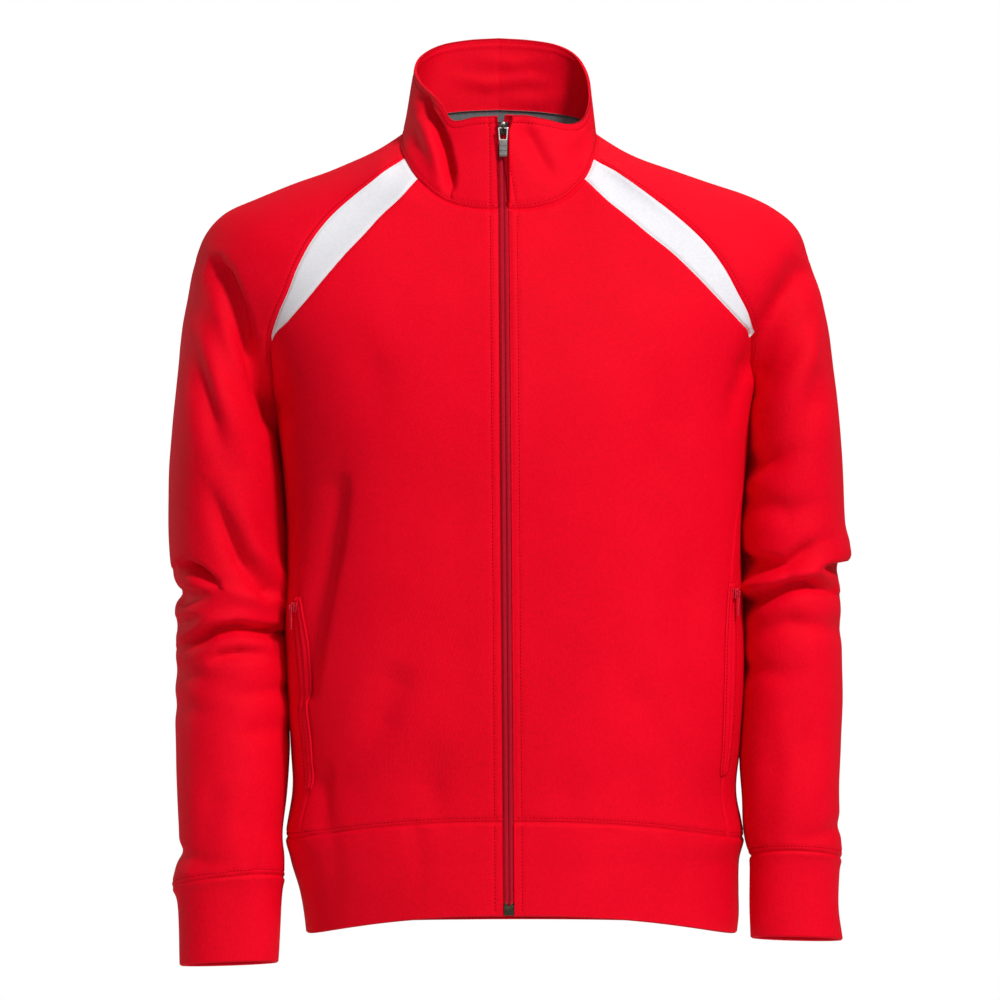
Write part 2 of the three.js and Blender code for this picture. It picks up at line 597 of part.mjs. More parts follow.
// The band and the collar go round from the right front's zip edge to the left front's.
function hemGrid() {
  const columns = SIDES.map((side) => [
    ...hemColumns(side, 'front').map((around) => ({ side, around })),
    ...hemColumns(side, 'back').slice(1).map((around) => ({ side, around })),
  ]);
  const loop = [...columns[0], ...columns[1].reverse().slice(1)];
  return Array.from({ length: BAND_ROWS + 1 }, (_, k) => loop.map(({ side, around }, i) => {
    const z = lerp(hemSeamZ(around), hemZ(around), k / BAND_ROWS);
    const point = torsoAround(side, around, z);
    if (i === 0 || i === loop.length - 1) point.x = zipEdge(side, z);
    return point;
  }));
}

function collarGrid() {
  const half = SIDES.map((side) => [
    ...neckSteps(side, 0, NECK_MARKS.insert, FRONT_COLUMNS),
    ...neckSteps(side, NECK_MARKS.insert, NECK_MARKS.sleeve, INSERT_COLUMNS).slice(1),
    ...neckSteps(side, NECK_MARKS.sleeve, NECK_MARKS.back, SLEEVE_COLUMNS).slice(1),
    ...neckSteps(side, NECK_MARKS.back, NECK_MARKS.middle, BACK_COLUMNS / 2).slice(1),
  ].map((t) => ({ side, t })));
  const loop = [...half[0], ...half[1].reverse().slice(1)];
  return Array.from({ length: COLLAR_ROWS + 1 }, (_, k) => loop.map(({ side, t }, i) => {
    const point = neckPoint(side, t, 1 - k / COLLAR_ROWS);
    if (i === 0 || i === loop.length - 1) point.x = zipEdge(side, point.z);
    return point;
  }));
}

// Folds

function distanceToLine(x, z, line) {
  let nearest = Infinity;
  for (let k = 1; k < line.length; k += 1) {
    const [x0, z0] = line[k - 1];
    const [x1, z1] = line[k];
    const length = (x1 - x0) ** 2 + (z1 - z0) ** 2;
    const t = clamp(((x - x0) * (x1 - x0) + (z - z0) * (z1 - z0)) / length, 0, 1);
    nearest = Math.min(nearest, Math.hypot(x - lerp(x0, x1, t), z - lerp(z0, z1, t)));
  }
  return nearest;
}

// How far the folds push a point in.
function foldDepth(point, group) {
  const below = 1 - smoothStep(UNDERARM_Z - 10 - FOLD_FADE, UNDERARM_Z - 10, point.z);
  let depth = 0;
  for (const fold of FOLDS) {
    const fade = fold.on === 'all' ? 1 : below;
    const here = fold.on === 'all' || fold.on === group;
    const facing = smoothStep(-15, 20, fold.face * point.y);
    if (!here || fade * facing === 0) continue;
    const away = distanceToLine(point.x, point.z, fold.line) / fold.wide;
    depth += fade * facing * fold.deep * Math.exp(-away * away);
  }
  return depth;
}

// Cloth pieces: an outer grid, which way it faces, its wall and where its sides are sewn.

const OPEN = Infinity;
function clothPiece(name, grid, facing, wall, group, color, closedFrom = OPEN) {
  return { name, grid, facing, wall, group, color, closedFrom };
}

const placeKey = (point) => point.toArray().map((value) => Math.round(value * 100)).join();

function faceNormals(grid, facing) {
  const normals = grid.map((row) => row.map(() => new THREE.Vector3()));
  for (let j = 0; j < grid.length - 1; j += 1) {
    for (let i = 0; i < grid[0].length - 1; i += 1) {
      const across = grid[j][i + 1].clone().sub(grid[j + 1][i]);
      const down = grid[j + 1][i + 1].clone().sub(grid[j][i]);
      const normal = across.cross(down).multiplyScalar(facing);
      normals[j][i].add(normal);
      normals[j + 1][i].add(normal);
      normals[j][i + 1].add(normal);
      normals[j + 1][i + 1].add(normal);
    }
  }
  return normals;
}

// Sums the normals of points that lie in the same place.
function sumByPlace(grids, normals) {
  const sums = new Map();
  grids.forEach((grid, g) => grid.forEach((row, j) => row.forEach((point, i) => {
    const key = placeKey(point);
    if (!sums.has(key)) sums.set(key, new THREE.Vector3());
    sums.get(key).add(normals[g][j][i]);
  })));
  return sums;
}

const SAME_WAY = 0.8;
function setNormals(pieces) {
  const grids = pieces.map((piece) => piece.grid);
  const faces = pieces.map((piece) => faceNormals(piece.grid, piece.facing));
  const shared = sumByPlace(grids, faces);
  const inGroup = (group) => (_, g) => pieces[g].group === group;
  const near = {};
  for (const group of ['body', 'arm']) {
    near[group] = sumByPlace(grids.filter(inGroup(group)), faces.filter(inGroup(group)));
  }
  pieces.forEach((piece, g) => {
    const own = sumByPlace([piece.grid], [faces[g]]);
    piece.normals = piece.grid.map((row) => row.map((point) => {
      const at = (sums) => sums.get(placeKey(point)).clone().normalize();
      return { own: at(own), near: at(near[piece.group]), shared: at(shared) };
    }));
  });
}

// Where pieces meet in a deep valley each side of it keeps its own direction.
function wallNormal({ own, near, shared }) {
  if (own.dot(shared) > SAME_WAY) return shared;
  return own.dot(near) > SAME_WAY ? near : own;
}

function foldPieces(pieces) {
  setNormals(pieces);
  for (const piece of pieces) {
    piece.grid = piece.grid.map((row, j) => row.map((point, i) => (
      point.clone().addScaledVector(piece.normals[j][i].shared, -foldDepth(point, piece.group))
    )));
  }
  setNormals(pieces);
}

// The step back from a seam: half the gap along the cloth, and off a neighbour it faces.
function seamStep(piece, j, i) {
  const { grid, closedFrom } = piece;
  const rows = grid.length - 1;
  const columns = grid[0].length - 1;
  const point = grid[j][i];
  const step = new THREE.Vector3();
  const towards = (other) => step.add(other.clone().sub(point).setLength(SEAM_GAP / 2));
  if (j === 0) towards(grid[1][i]);
  if (j === rows) towards(grid[rows - 1][i]);
  if (i === 0 && j < closedFrom) towards(grid[j][1]);
  if (i === columns && j < closedFrom) towards(grid[j][columns - 1]);
  const { own, shared } = piece.normals[j][i];
  const facing = clamp(1 - own.dot(shared), 0, 1);
  return step.addScaledVector(own, -SEAM_GAP * facing);
}

function shellGeometry(outer, inner, facing, closedFrom = OPEN) {
  const rows = outer.length;
  const columns = outer[0].length;
  const points = [...outer.flat(), ...inner.flat()];
  const index = [];
  const out = (j, i) => j * columns + i;
  const inn = (j, i) => rows * columns + j * columns + i;
  const quad = (a, b, c, d) => {
    const firstCut = points[a].distanceTo(points[c]);
    const secondCut = points[b].distanceTo(points[d]);
    if (firstCut <= secondCut) index.push(a, b, c, a, c, d);
    else index.push(a, b, d, b, c, d);
  };
  const side = (a, b, c, d) => (facing > 0 ? quad(d, c, b, a) : quad(a, b, c, d));
  for (let j = 0; j < rows - 1; j += 1) {
    for (let i = 0; i < columns - 1; i += 1) {
      side(out(j, i), out(j + 1, i), out(j + 1, i + 1), out(j, i + 1));
      side(inn(j, i), inn(j, i + 1), inn(j + 1, i + 1), inn(j + 1, i));
    }
  }
  for (let i = 0; i < columns - 1; i += 1) {
    side(out(0, i), out(0, i + 1), inn(0, i + 1), inn(0, i));
    side(out(rows - 1, i + 1), out(rows - 1, i), inn(rows - 1, i), inn(rows - 1, i + 1));
  }
  for (let j = 0; j < rows - 1 && j < closedFrom; j += 1) {
    const last = columns - 1;
    side(out(j + 1, 0), out(j, 0), inn(j, 0), inn(j + 1, 0));
    side(out(j, last), out(j + 1, last), inn(j + 1, last), inn(j, last));
  }
  const geometry = new THREE.BufferGeometry();
  geometry.setAttribute('position', new THREE.Float32BufferAttribute(
    points.flatMap((point) => point.toArray()), 3,
  ));
  geometry.setIndex(index);
  return geometry;
}

function clothGeometry(piece) {
  const outer = piece.grid.map((row, j) => row.map((point, i) => (
    point.clone().add(seamStep(piece, j, i))
  )));
  const inner = outer.map((row, j) => row.map((point, i) => (
    point.clone().addScaledVector(wallNormal(piece.normals[j][i]), -piece.wall)
  )));
  return shellGeometry(outer, inner, piece.facing, piece.closedFrom);
}

// Cloth that lies on other cloth

// A welt takes the points of the front and the back on either side of the side seam.
const WELT_ROWS = [RAGLAN_ROWS + BODY_ROWS[0], RAGLAN_ROWS + BODY_ROWS[0] + BODY_ROWS[1]];
const LAY_GAP = 0.35;
function weltGeometry(side, front, back) {
  const backEdge = side.sign < 0 ? 0 : BACK_COLUMNS;
  const backNext = side.sign < 0 ? 1 : BACK_COLUMNS - 1;
  const lift = (piece, j, i, height) => (
    piece.grid[j][i].clone().addScaledVector(piece.normals[j][i].shared, height)
  );
  const layer = (height) => {
    const rows = [];
    for (let j = WELT_ROWS[0]; j <= WELT_ROWS[1]; j += 1) {
      rows.push([
        lift(front, j, FRONT_COLUMNS - 1, height),
        lift(back, j, backEdge, height),
        lift(back, j, backNext, height),
      ]);
    }
    return rows;
  };
  return shellGeometry(layer(LAY_GAP + WELT_CLOTH), layer(LAY_GAP), -side.sign);
}

// The tape hangs inside the back of the neck, over the collar seam.
const TAPE = { from: 5.5, above: 0.09, drops: [0, 19], columns: 10 };
function tapeGeometry() {
  const steps = Array.from({ length: TAPE.columns + 1 }, (_, i) => (
    lerp(TAPE.from, NECK_MARKS.middle, i / TAPE.columns)
  ));
  const loop = [
    ...steps.map((t) => ({ side: SIDES[0], t })),
    ...steps.slice(0, -1).reverse().map((t) => ({ side: SIDES[1], t })),
  ];
  const layer = (inwards) => {
    const place = ({ side, t }, rise, drop) => {
      const point = neckPoint(side, t, rise);
      const along = neckPoint(side, t + 0.05, rise).sub(neckPoint(side, t - 0.05, rise));
      const inside = new THREE.Vector3(along.y, -along.x, 0).normalize();
      point.addScaledVector(inside, -side.sign * inwards);
      point.z -= drop;
      return point;
    };
    return [
      loop.map((column) => place(column, TAPE.above, 0)),
      ...TAPE.drops.map((drop) => loop.map((column) => place(column, 0, drop))),
    ];
  };
  const start = BAND_CLOTH + 2 * LAY_GAP;
  return shellGeometry(layer(start), layer(start + TAPE_CLOTH), 1);
}

// Zip hardware

const frontY = (z) => (
  z < NECK[0].z
    ? -curveAt(TORSO, 'z', z, 'front')
    : lerp(NECK[0].y, RIM.left[0].y, (z - NECK[0].z) / (RIM.left[0].z - NECK[0].z))
);

const CHAIN_ROWS = 26;
const CHAIN_PROUD = 0.2;
const CHAIN_INTO_SLIDER = 3;
function chainGeometry() {
  const layer = (back) => Array.from({ length: CHAIN_ROWS + 1 }, (_, j) => {
    const top = SLIDER_Z + CHAIN_INTO_SLIDER;
    const z = lerp(top, ZIP_BOX.top + SEAM_GAP, j / CHAIN_ROWS);
    const y = frontY(z) - CHAIN_PROUD + back;
    return [-ZIP_HALF, ZIP_HALF].map((x) => new THREE.Vector3(zipX(z) + x, y, z));
  });
  return shellGeometry(layer(0), layer(ZIP_THICK), -1);
}

// Sliders and pulls, at the front zip's size. Local -Y faces away from the cloth.
const SLIDER = { width: 9, foot: 7, height: 11, deep: 4.2 };
const BAIL = { width: 2, half: 2.4, reach: 3.8, hole: 1.3 };
const PULL = { width: 8, tab: 6.6, thick: 1.4, bar: 0.7, slot: 4.6, slotHalf: 1.6, length: 24 };
const BAR_OUT = 1.5;           // middle of the pull's bar in front of the slider's face

function toSolid(geometry) {
  const position = geometry.index ? geometry : indexed(geometry);
  return new wasm.Manifold(new wasm.Mesh({
    numProp: 3,
    vertProperties: new Float32Array(position.attributes.position.array),
    triVerts: new Uint32Array(position.index.array),
  }));
}

// Merges a geometry's equal points.
function indexed(geometry) {
  const source = geometry.attributes.position;
  const seen = new Map();
  const points = [];
  const index = [];
  const count = geometry.index ? geometry.index.count : source.count;
  for (let k = 0; k < count; k += 1) {
    const vertex = geometry.index ? geometry.index.getX(k) : k;
    const point = new THREE.Vector3().fromBufferAttribute(source, vertex);
    const key = point.toArray().map((value) => value.toFixed(4)).join();
    if (!seen.has(key)) {
      seen.set(key, points.length / 3);
      points.push(...point.toArray());
    }
    index.push(seen.get(key));
  }
  const merged = new THREE.BufferGeometry();
  merged.setAttribute('position', new THREE.Float32BufferAttribute(points, 3));
  merged.setIndex(index);
  return merged;
}

function fromSolid(solid) {
  const mesh = solid.getMesh();
  const geometry = new THREE.BufferGeometry();
  geometry.setAttribute('position', new THREE.Float32BufferAttribute(mesh.vertProperties, 3));
  geometry.setIndex([...mesh.triVerts]);
  return geometry;
}

function sliderGeometry(scale) {
  const outline = new THREE.Shape([
    new THREE.Vector2(-SLIDER.width / 2 + 1, SLIDER.height / 2),
    new THREE.Vector2(-SLIDER.width / 2, SLIDER.height / 2 - 1.5),
    new THREE.Vector2(-SLIDER.width / 2, 0),
    new THREE.Vector2(-SLIDER.foot / 2, -SLIDER.height / 2),
    new THREE.Vector2(SLIDER.foot / 2, -SLIDER.height / 2),
    new THREE.Vector2(SLIDER.width / 2, 0),
    new THREE.Vector2(SLIDER.width / 2, SLIDER.height / 2 - 1.5),
    new THREE.Vector2(SLIDER.width / 2 - 1, SLIDER.height / 2),
  ]);
  const body = new THREE.ExtrudeGeometry(outline, { depth: SLIDER.deep, bevelEnabled: false });
  body.rotateX(Math.PI / 2);
  body.translate(0, SLIDER.deep / 2, 0);
  const bailShape = new THREE.Shape([
    new THREE.Vector2(-BAIL.half, -0.3),
    new THREE.Vector2(BAIL.half, -0.3),
    new THREE.Vector2(BAIL.half, BAIL.reach - 0.8),
    new THREE.Vector2(BAIL.half - 0.8, BAIL.reach),
    new THREE.Vector2(-BAIL.half + 0.8, BAIL.reach),
    new THREE.Vector2(-BAIL.half, BAIL.reach - 0.8),
  ]);
  bailShape.holes.push(new THREE.Path([
    new THREE.Vector2(-BAIL.hole, BAR_OUT - BAIL.hole),
    new THREE.Vector2(-BAIL.hole, BAR_OUT + BAIL.hole),
    new THREE.Vector2(BAIL.hole, BAR_OUT + BAIL.hole),
    new THREE.Vector2(BAIL.hole, BAR_OUT - BAIL.hole),
  ]));
  const bail = new THREE.ExtrudeGeometry(bailShape, { depth: BAIL.width, bevelEnabled: false });
  bail.translate(0, 0, -BAIL.width / 2);
  bail.rotateY(-Math.PI / 2);
  bail.rotateZ(Math.PI);
  bail.translate(0, -SLIDER.deep / 2, 0);
  const joined = toSolid(indexed(body)).add(toSolid(indexed(bail)));
  const geometry = fromSolid(joined);
  geometry.scale(scale, scale, scale);
  return geometry;
}

function pullGeometry(scale) {
  const half = PULL.width / 2;
  const tab = PULL.tab / 2;
  const outline = new THREE.Shape([
    new THREE.Vector2(-half + 1.2, PULL.bar),
    new THREE.Vector2(-half, PULL.bar - 1.2),
    new THREE.Vector2(-half, -PULL.slot - 2),
    new THREE.Vector2(-tab, -PULL.slot - 4),
    new THREE.Vector2(-tab, -PULL.length + 1),
    new THREE.Vector2(-tab + 1, -PULL.length),
    new THREE.Vector2(tab - 1, -PULL.length),
    new THREE.Vector2(tab, -PULL.length + 1),
    new THREE.Vector2(tab, -PULL.slot - 4),
    new THREE.Vector2(half, -PULL.slot - 2),
    new THREE.Vector2(half, PULL.bar - 1.2),
    new THREE.Vector2(half - 1.2, PULL.bar),
  ]);
  outline.holes.push(new THREE.Path([
    new THREE.Vector2(-PULL.slotHalf, -PULL.bar),
    new THREE.Vector2(-PULL.slotHalf, -PULL.slot),
    new THREE.Vector2(PULL.slotHalf, -PULL.slot),
    new THREE.Vector2(PULL.slotHalf, -PULL.bar),
  ]));
  const plate = new THREE.ExtrudeGeometry(outline, { depth: PULL.thick, bevelEnabled: false });
  plate.rotateX(Math.PI / 2);
  plate.translate(0, PULL.thick / 2, 0);
  plate.scale(scale, scale, scale);
  return indexed(plate);
}

// Colours and finishes

const finish = (color, roughness, metalness) => ({ color, roughness, metalness });
const RED = finish(0xd2001e, 0.6, 0);
const WHITE = finish(0xeceaf0, 0.6, 0);
const GREY = finish(0x64696a, 0.7, 0);
const COIL = finish(0xa81428, 0.45, 0);
const DARK_METAL = finish(0x302c28, 0.35, 0.9);
const RUBBER = finish(0x78736f, 0.6, 0);

function mesh(name, geometry, look) {
  const material = new THREE.MeshStandardMaterial(look);
  const part = new THREE.Mesh(geometry, material);
  part.name = name;
  return part;
}

// The jacket

const jacket = new THREE.Group();
jacket.name = 'track_jacket';

const cloth = [
  ...SIDES.flatMap((side) => [
    clothPiece(`front_${side.name}`, frontGrid(side), -side.sign, CLOTH, 'body', RED),
    clothPiece(`insert_${side.name}`, insertGrid(side), -side.sign, CLOTH, 'body', WHITE),
    clothPiece(
      `sleeve_${side.name}`, sleeveGrid(side), -side.sign, CLOTH, 'arm', RED, RAGLAN_ROWS + 1,
    ),
    clothPiece(`cuff_${side.name}`, cuffGrid(side), -side.sign, BAND_CLOTH, 'arm', RED, 0),
  ]),
  clothPiece('back', backGrid(), 1, CLOTH, 'body', RED),
  clothPiece('collar', collarGrid(), 1, BAND_CLOTH, 'body', RED),
  clothPiece('hem_band', hemGrid(), 1, BAND_CLOTH, 'body', RED),
];
foldPieces(cloth);
for (const piece of cloth) {
  jacket.add(mesh(piece.name, clothGeometry(piece), piece.color));
}

const pieceNamed = (name) => cloth.find((piece) => piece.name === name);
for (const side of SIDES) {
  const welt = weltGeometry(side, pieceNamed(`front_${side.name}`), pieceNamed('back'));
  jacket.add(mesh(`pocket_welt_${side.name}`, welt, RED));
}
jacket.add(mesh('neck_tape', tapeGeometry(), GREY));
jacket.add(mesh('zip_chain', chainGeometry(), COIL));

const BOX_BACK = 0.7;          // middle of the box behind the face of the fronts
const boxMiddle = ZIP_BOX.top - ZIP_BOX.height / 2;
const box = new THREE.BoxGeometry(ZIP_BOX.width, ZIP_BOX.depth, ZIP_BOX.height);
box.translate(zipX(boxMiddle), frontY(boxMiddle) + BOX_BACK, boxMiddle);
jacket.add(mesh('zip_box', box, DARK_METAL));

// Adds a slider and its pull, its back at a point of the cloth, facing away from it.
function addSlider(names, back, turn, scale, pullLook) {
  const holder = new THREE.Group();
  const lift = (LAY_GAP + scale * SLIDER.deep / 2);
  holder.position.copy(back).add(new THREE.Vector3(Math.sin(turn), -Math.cos(turn), 0)
    .multiplyScalar(lift));
  holder.rotation.z = turn;
  holder.add(mesh(names.slider, sliderGeometry(scale), DARK_METAL));
  const pull = mesh(names.pull, pullGeometry(scale), pullLook);
  pull.position.y = -scale * (SLIDER.deep / 2 + BAR_OUT);
  holder.add(pull);
  jacket.add(holder);
}

const SLIDER_OUT = 0.6;        // back of the front slider in front of the coil
const sliderY = frontY(SLIDER_Z) - CHAIN_PROUD - SLIDER_OUT;
const sliderBack = new THREE.Vector3(zipX(SLIDER_Z), sliderY, SLIDER_Z);
addSlider({ slider: 'zip_slider', pull: 'zip_pull' }, sliderBack, 0, 1, RUBBER);

const POCKET_SCALE = 0.8;
const POCKET_SLIDER_DROP = 9;  // slider's middle below the top of the pocket
for (const side of SIDES) {
  const front = pieceNamed(`front_${side.name}`);
  const seam = (j) => front.grid[j][FRONT_COLUMNS];
  const [j] = WELT_ROWS;
  const drop = POCKET_SLIDER_DROP / (seam(j).z - seam(j + 1).z);
  const run = torsoAround(side, sideAngle(seam(j).z) + 2, seam(j).z)
    .sub(torsoAround(side, sideAngle(seam(j).z) - 2, seam(j).z));
  const away = new THREE.Vector3(run.y, -run.x, 0).normalize().multiplyScalar(side.sign);
  const back = seam(j).clone().lerp(seam(j + 1), drop)
    .addScaledVector(away, LAY_GAP + WELT_CLOTH + LAY_GAP);
  addSlider(
    { slider: `pocket_slider_${side.name}`, pull: `pocket_pull_${side.name}` },
    back, Math.atan2(away.x, -away.y), POCKET_SCALE, RED,
  );
}

export default jacket;
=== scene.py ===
"""Red track jacket in its worn, hollow form.

Tables and forms are in millimetres. The meshes are made in metres. Right and left are the
wearer's. Sizes measured outwards are taken from the centre line of the body.
"""

import math

import bmesh
import bpy
import numpy as np
from mathutils import Matrix, Vector


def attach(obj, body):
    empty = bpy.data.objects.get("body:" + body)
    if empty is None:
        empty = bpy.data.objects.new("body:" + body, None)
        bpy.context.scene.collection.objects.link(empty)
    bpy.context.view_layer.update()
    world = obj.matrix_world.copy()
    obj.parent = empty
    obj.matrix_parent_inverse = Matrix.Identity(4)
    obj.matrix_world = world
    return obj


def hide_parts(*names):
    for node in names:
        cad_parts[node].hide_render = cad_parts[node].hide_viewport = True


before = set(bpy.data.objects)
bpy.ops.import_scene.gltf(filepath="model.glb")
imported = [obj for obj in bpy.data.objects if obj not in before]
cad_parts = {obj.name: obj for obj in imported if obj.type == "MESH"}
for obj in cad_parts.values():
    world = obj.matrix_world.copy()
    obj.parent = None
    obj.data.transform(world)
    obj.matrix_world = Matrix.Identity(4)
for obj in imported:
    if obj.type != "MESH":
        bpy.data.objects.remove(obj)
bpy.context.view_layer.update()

MM = 0.001
CLOTH = 1.5 * MM
BAND_CLOTH = 2.4 * MM
TAPE_CLOTH = 1.0 * MM
WELT_CLOTH = 1.2 * MM
ZIP_TAPE_CLOTH = 0.6 * MM
ROUND = 2.4                # roundness of the torso sections, 2 is an ellipse
SLEEVE_ROUND = 2.15        # roundness of the sleeve rings

ZIP_HALF = 4.2             # half of what shows between the fronts
EDGE_GAP = 0.4             # between the zip and a front's edge
ZIP_BOX_TOP = -649.0
ZIP_BOX_HEIGHT = 11.0
SLIDER_Z = 7.5
ZIP_X, ZIP_Z = (0.6, -4.4), (-670.0, 20.0)     # the zip leans, from its foot to its top

UNDERARM_Z = -238.0
HEM_SEAM_Z = -601.0
HEM_Z = -683.0
HEM_SEAM_RISE = 20.0
HEM_RISE = 23.0
POCKETS = {"right": (-392.0, -557.0), "left": (-380.0, -545.0)}
SIGN = {"right": -1.0, "left": 1.0}


# Tables and the smooth curves through them

def table(columns, rows):
    values = np.array(rows, float)
    named = {name: values[:, k] for k, name in enumerate(columns.split())}
    named["n"] = np.arange(len(rows), dtype=float)
    return named


TORSO = table("z centre half front back", [
    (40, -8, 74, 60, 69), (30, -8, 80, 64, 76), (6, -8, 93, 72, 86), (-8, -8, 110, 76, 91),
    (-21, -7, 144, 80, 96), (-35, -6, 182, 84, 101), (-62, -4, 238, 91, 110),
    (-98, 1, 262, 107, 121), (-135, 4, 246, 122, 129), (-175, 5, 224, 132, 134),
    (-210, 5, 210, 137, 135), (-257, 5, 203, 138, 133), (-335, 5, 197, 135, 126),
    (-447, 5, 200, 130, 122), (-518, 5, 197, 127, 121), (-560, 5, 193, 124, 120),
    (-601, 5, 199, 122, 120), (-620, 5, 195, 120, 118), (-683, 5, 187, 115, 114),
])

# How much each side of the hanging body lies further in than the even form
EASE = table("z right left", [
    (-300, 0, 0), (-374, 0.5, 0), (-405, 1, 0), (-430, 2, 0), (-491, 4.5, 0), (-518, 6, 0),
    (-544, 4, 0), (-570, 0.5, 0), (-601, 0, 0), (-622, 0, 0), (-648, 4.3, -3.5),
    (-674, 6, -7), (-720, 6.5, -7),
])

# Neck seam from the zip to the middle of the back, and the collar's rim above it
NECK = table("x y z", [
    (0, -90, -62), (28, -89, -60.5), (52, -85, -52.5), (72, -73, -34), (82, -52, -15),
    (85, -28, -4), (85, 0, 6), (82.5, 26, 13), (76, 46, 19), (66, 58, 23), (36, 71, 28),
    (0, 76, 30),
])
RIM = {
    "right": table("x y z", [
        (0, -80, 18), (20, -79, 17), (40, -73, 15), (50, -61, 31), (59, -44, 41),
        (67, -25, 50), (72, -4, 60), (73, 22, 71), (67, 45, 83), (52, 62, 92), (28, 71, 97),
        (0, 74, 99),
    ]),
    "left": table("x y z", [
        (0, -80, 18), (20, -79, 18.5), (40, -73, 16), (58, -60, 13), (71, -42, 17),
        (78, -20, 30), (80, 2, 47), (77, 26, 66), (68, 47, 82), (52, 62, 92), (28, 71, 97),
        (0, 74, 99),
    ]),
}
INSERT_MARK, SLEEVE_MARK, BACK_MARK, MIDDLE_MARK = 3, 4, 9, 11
RAGLAN_MARK = {"inner": INSERT_MARK, "outer": SLEEVE_MARK, "back": BACK_MARK}
RAGLAN_BEND = 0.5          # how soon the raglan lines reach their marks on the neck seam

RAGLAN = table("innerX innerZ outerX outerZ backX backZ", [
    (72, -34, 86, -15, 66, 23), (88, -51, 106, -33, 80, 4), (105, -66, 128, -50, 97, -20),
    (121, -82, 149, -68, 115, -45), (139, -99, 167, -88, 134, -73),
    (157, -118, 181, -110, 152, -103), (174, -137, 192, -133, 169, -133),
    (192, -156, 202, -153, 184, -162), (208, -173, 208, -173, 196, -190),
    (208, -206, 208, -206, 204, -215), (206, -238, 206, -238, 206, -238),
])
TIP = 8.0                  # raglan row at which the insert ends

CAP_COLUMNS = "outX outZ midX midZ deep y"
CAP = {
    "right": table(CAP_COLUMNS, [
        (93, 6, 20, 0, 84, 0), (116, -10, 50, -30, 88, 1), (146, -22, 80, -55, 90, 3),
        (180, -35, 110, -80, 91, 5), (215, -49, 140, -104, 91, 6), (246, -63, 168, -127, 90, 7),
        (268, -84, 194, -147, 89, 8), (281, -111, 217, -165, 88, 8),
        (288, -142, 235.5, -184, 87, 8), (292, -173, 246.5, -203, 86, 7),
        (295, -206, 250.5, -222, 85, 7),
    ]),
    "left": table(CAP_COLUMNS, [
        (93, 6, 20, 0, 84, 0), (116, -9, 50, -30, 88, 1), (146, -20, 80, -55, 90, 3),
        (180, -33, 110, -80, 91, 5), (213, -45, 140, -104, 91, 6), (240, -59, 166, -127, 90, 7),
        (257, -76, 190, -147, 89, 8), (266, -106, 210, -165, 88, 8),
        (272, -142, 227, -184, 87, 8), (276, -173, 239.5, -203, 86, 7),
        (281, -208, 243.5, -222, 85, 7),
    ]),
}

RING_COLUMNS = "outX outZ inX inZ deep y tilt"
ARM = {
    "right": table(RING_COLUMNS, [
        (295, -206, 206, -238, 85, 7, 0), (299, -250, 202.5, -268, 84, 6, 0),
        (301, -291, 199, -300, 81, 5, 0), (300, -350, 196.2, -350, 75, 4, 0),
        (297, -374, 196.8, -374, 73, 3, 0), (290, -391, 197, -391, 71, 2, 1),
        (295, -405, 197.2, -405, 70, 1, 1), (294, -430, 197, -430, 68, 0, 2),
        (294, -491, 194, -491, 62, -7, 4), (292, -563, 196.5, -559, 54, -17, 6),
        (289.5, -600, 199.5, -596, 50, -21, 7), (291, -622, 197.5, -616, 46, -24, 7),
        (295.5, -644, 196.5, -635, 43, -26, 8),
    ]),
    "left": table(RING_COLUMNS, [
        (281, -208, 206, -238, 85, 7, 0), (285, -250, 202.5, -268, 84, 6, 0),
        (287, -291, 199, -300, 81, 5, 0), (288, -328, 196.8, -328, 77, 4, 0),
        (292, -350, 196.4, -350, 75, 3, 0), (282, -372, 197, -372, 72, 2, 1),
        (284, -392, 197.8, -392, 70, 1, 1), (285, -440, 199, -440, 67, -2, 2),
        (285, -480, 198.3, -480, 62, -6, 4), (283, -530, 195.4, -530, 56, -13, 5),
        (282, -568, 198, -568, 51, -19, 6), (283, -596, 199.3, -594, 46, -22, 7),
        (284, -619, 204.5, -616, 42, -24, 8),
    ]),
}
CUFF = {
    "right": table(RING_COLUMNS, [
        (295.5, -644, 196.5, -635, 43, -26, 8), (290, -655, 199.5, -650, 39, -27, 8),
        (288.5, -680, 201, -678, 37, -29, 7), (288, -710, 203, -707, 36, -31, 5),
    ]),
    "left": table(RING_COLUMNS, [
        (284, -619, 204.5, -616, 42, -24, 8), (281, -632, 205, -630, 38, -25, 8),
        (280, -662, 204, -661, 36, -27, 7), (283, -688, 204.5, -686, 36, -29, 5),
    ]),
}

SIDE_SEAM = table("z angle", [
    (-238, 90), (-290, 80), (-360, 70), (-450, 66), (-601, 66), (-683, 66),
])


def curve(rows, key, at, column):
    """A smooth curve through a table's rows, which are looked up by their own column."""
    keys, values = rows[key], rows[column]
    at = np.asarray(at, float)
    if keys[1] < keys[0]:
        keys, at = -keys, -at
    at = np.clip(at, keys[0], keys[-1])
    slopes = np.empty_like(values)
    slopes[1:-1] = (values[2:] - values[:-2]) / (keys[2:] - keys[:-2])
    slopes[0] = (values[1] - values[0]) / (keys[1] - keys[0])
    slopes[-1] = (values[-1] - values[-2]) / (keys[-1] - keys[-2])
    i = np.clip(np.searchsorted(keys, at, side="right") - 1, 0, len(keys) - 2)
    step = keys[i + 1] - keys[i]
    t = (at - keys[i]) / step
    t2, t3 = t * t, t * t * t
    return (
        (2 * t3 - 3 * t2 + 1) * values[i] + (t3 - 2 * t2 + t) * step * slopes[i]
        + (3 * t2 - 2 * t3) * values[i + 1] + (t3 - t2) * step * slopes[i + 1]
    )


def lerp(a, b, t):
    return a + (b - a) * t


def smooth_step(low, high, value):
    t = np.clip((value - low) / (high - low), 0, 1)
    return t * t * (3 - 2 * t)


def signed_power(value, power):
    return np.sign(value) * np.abs(value) ** power


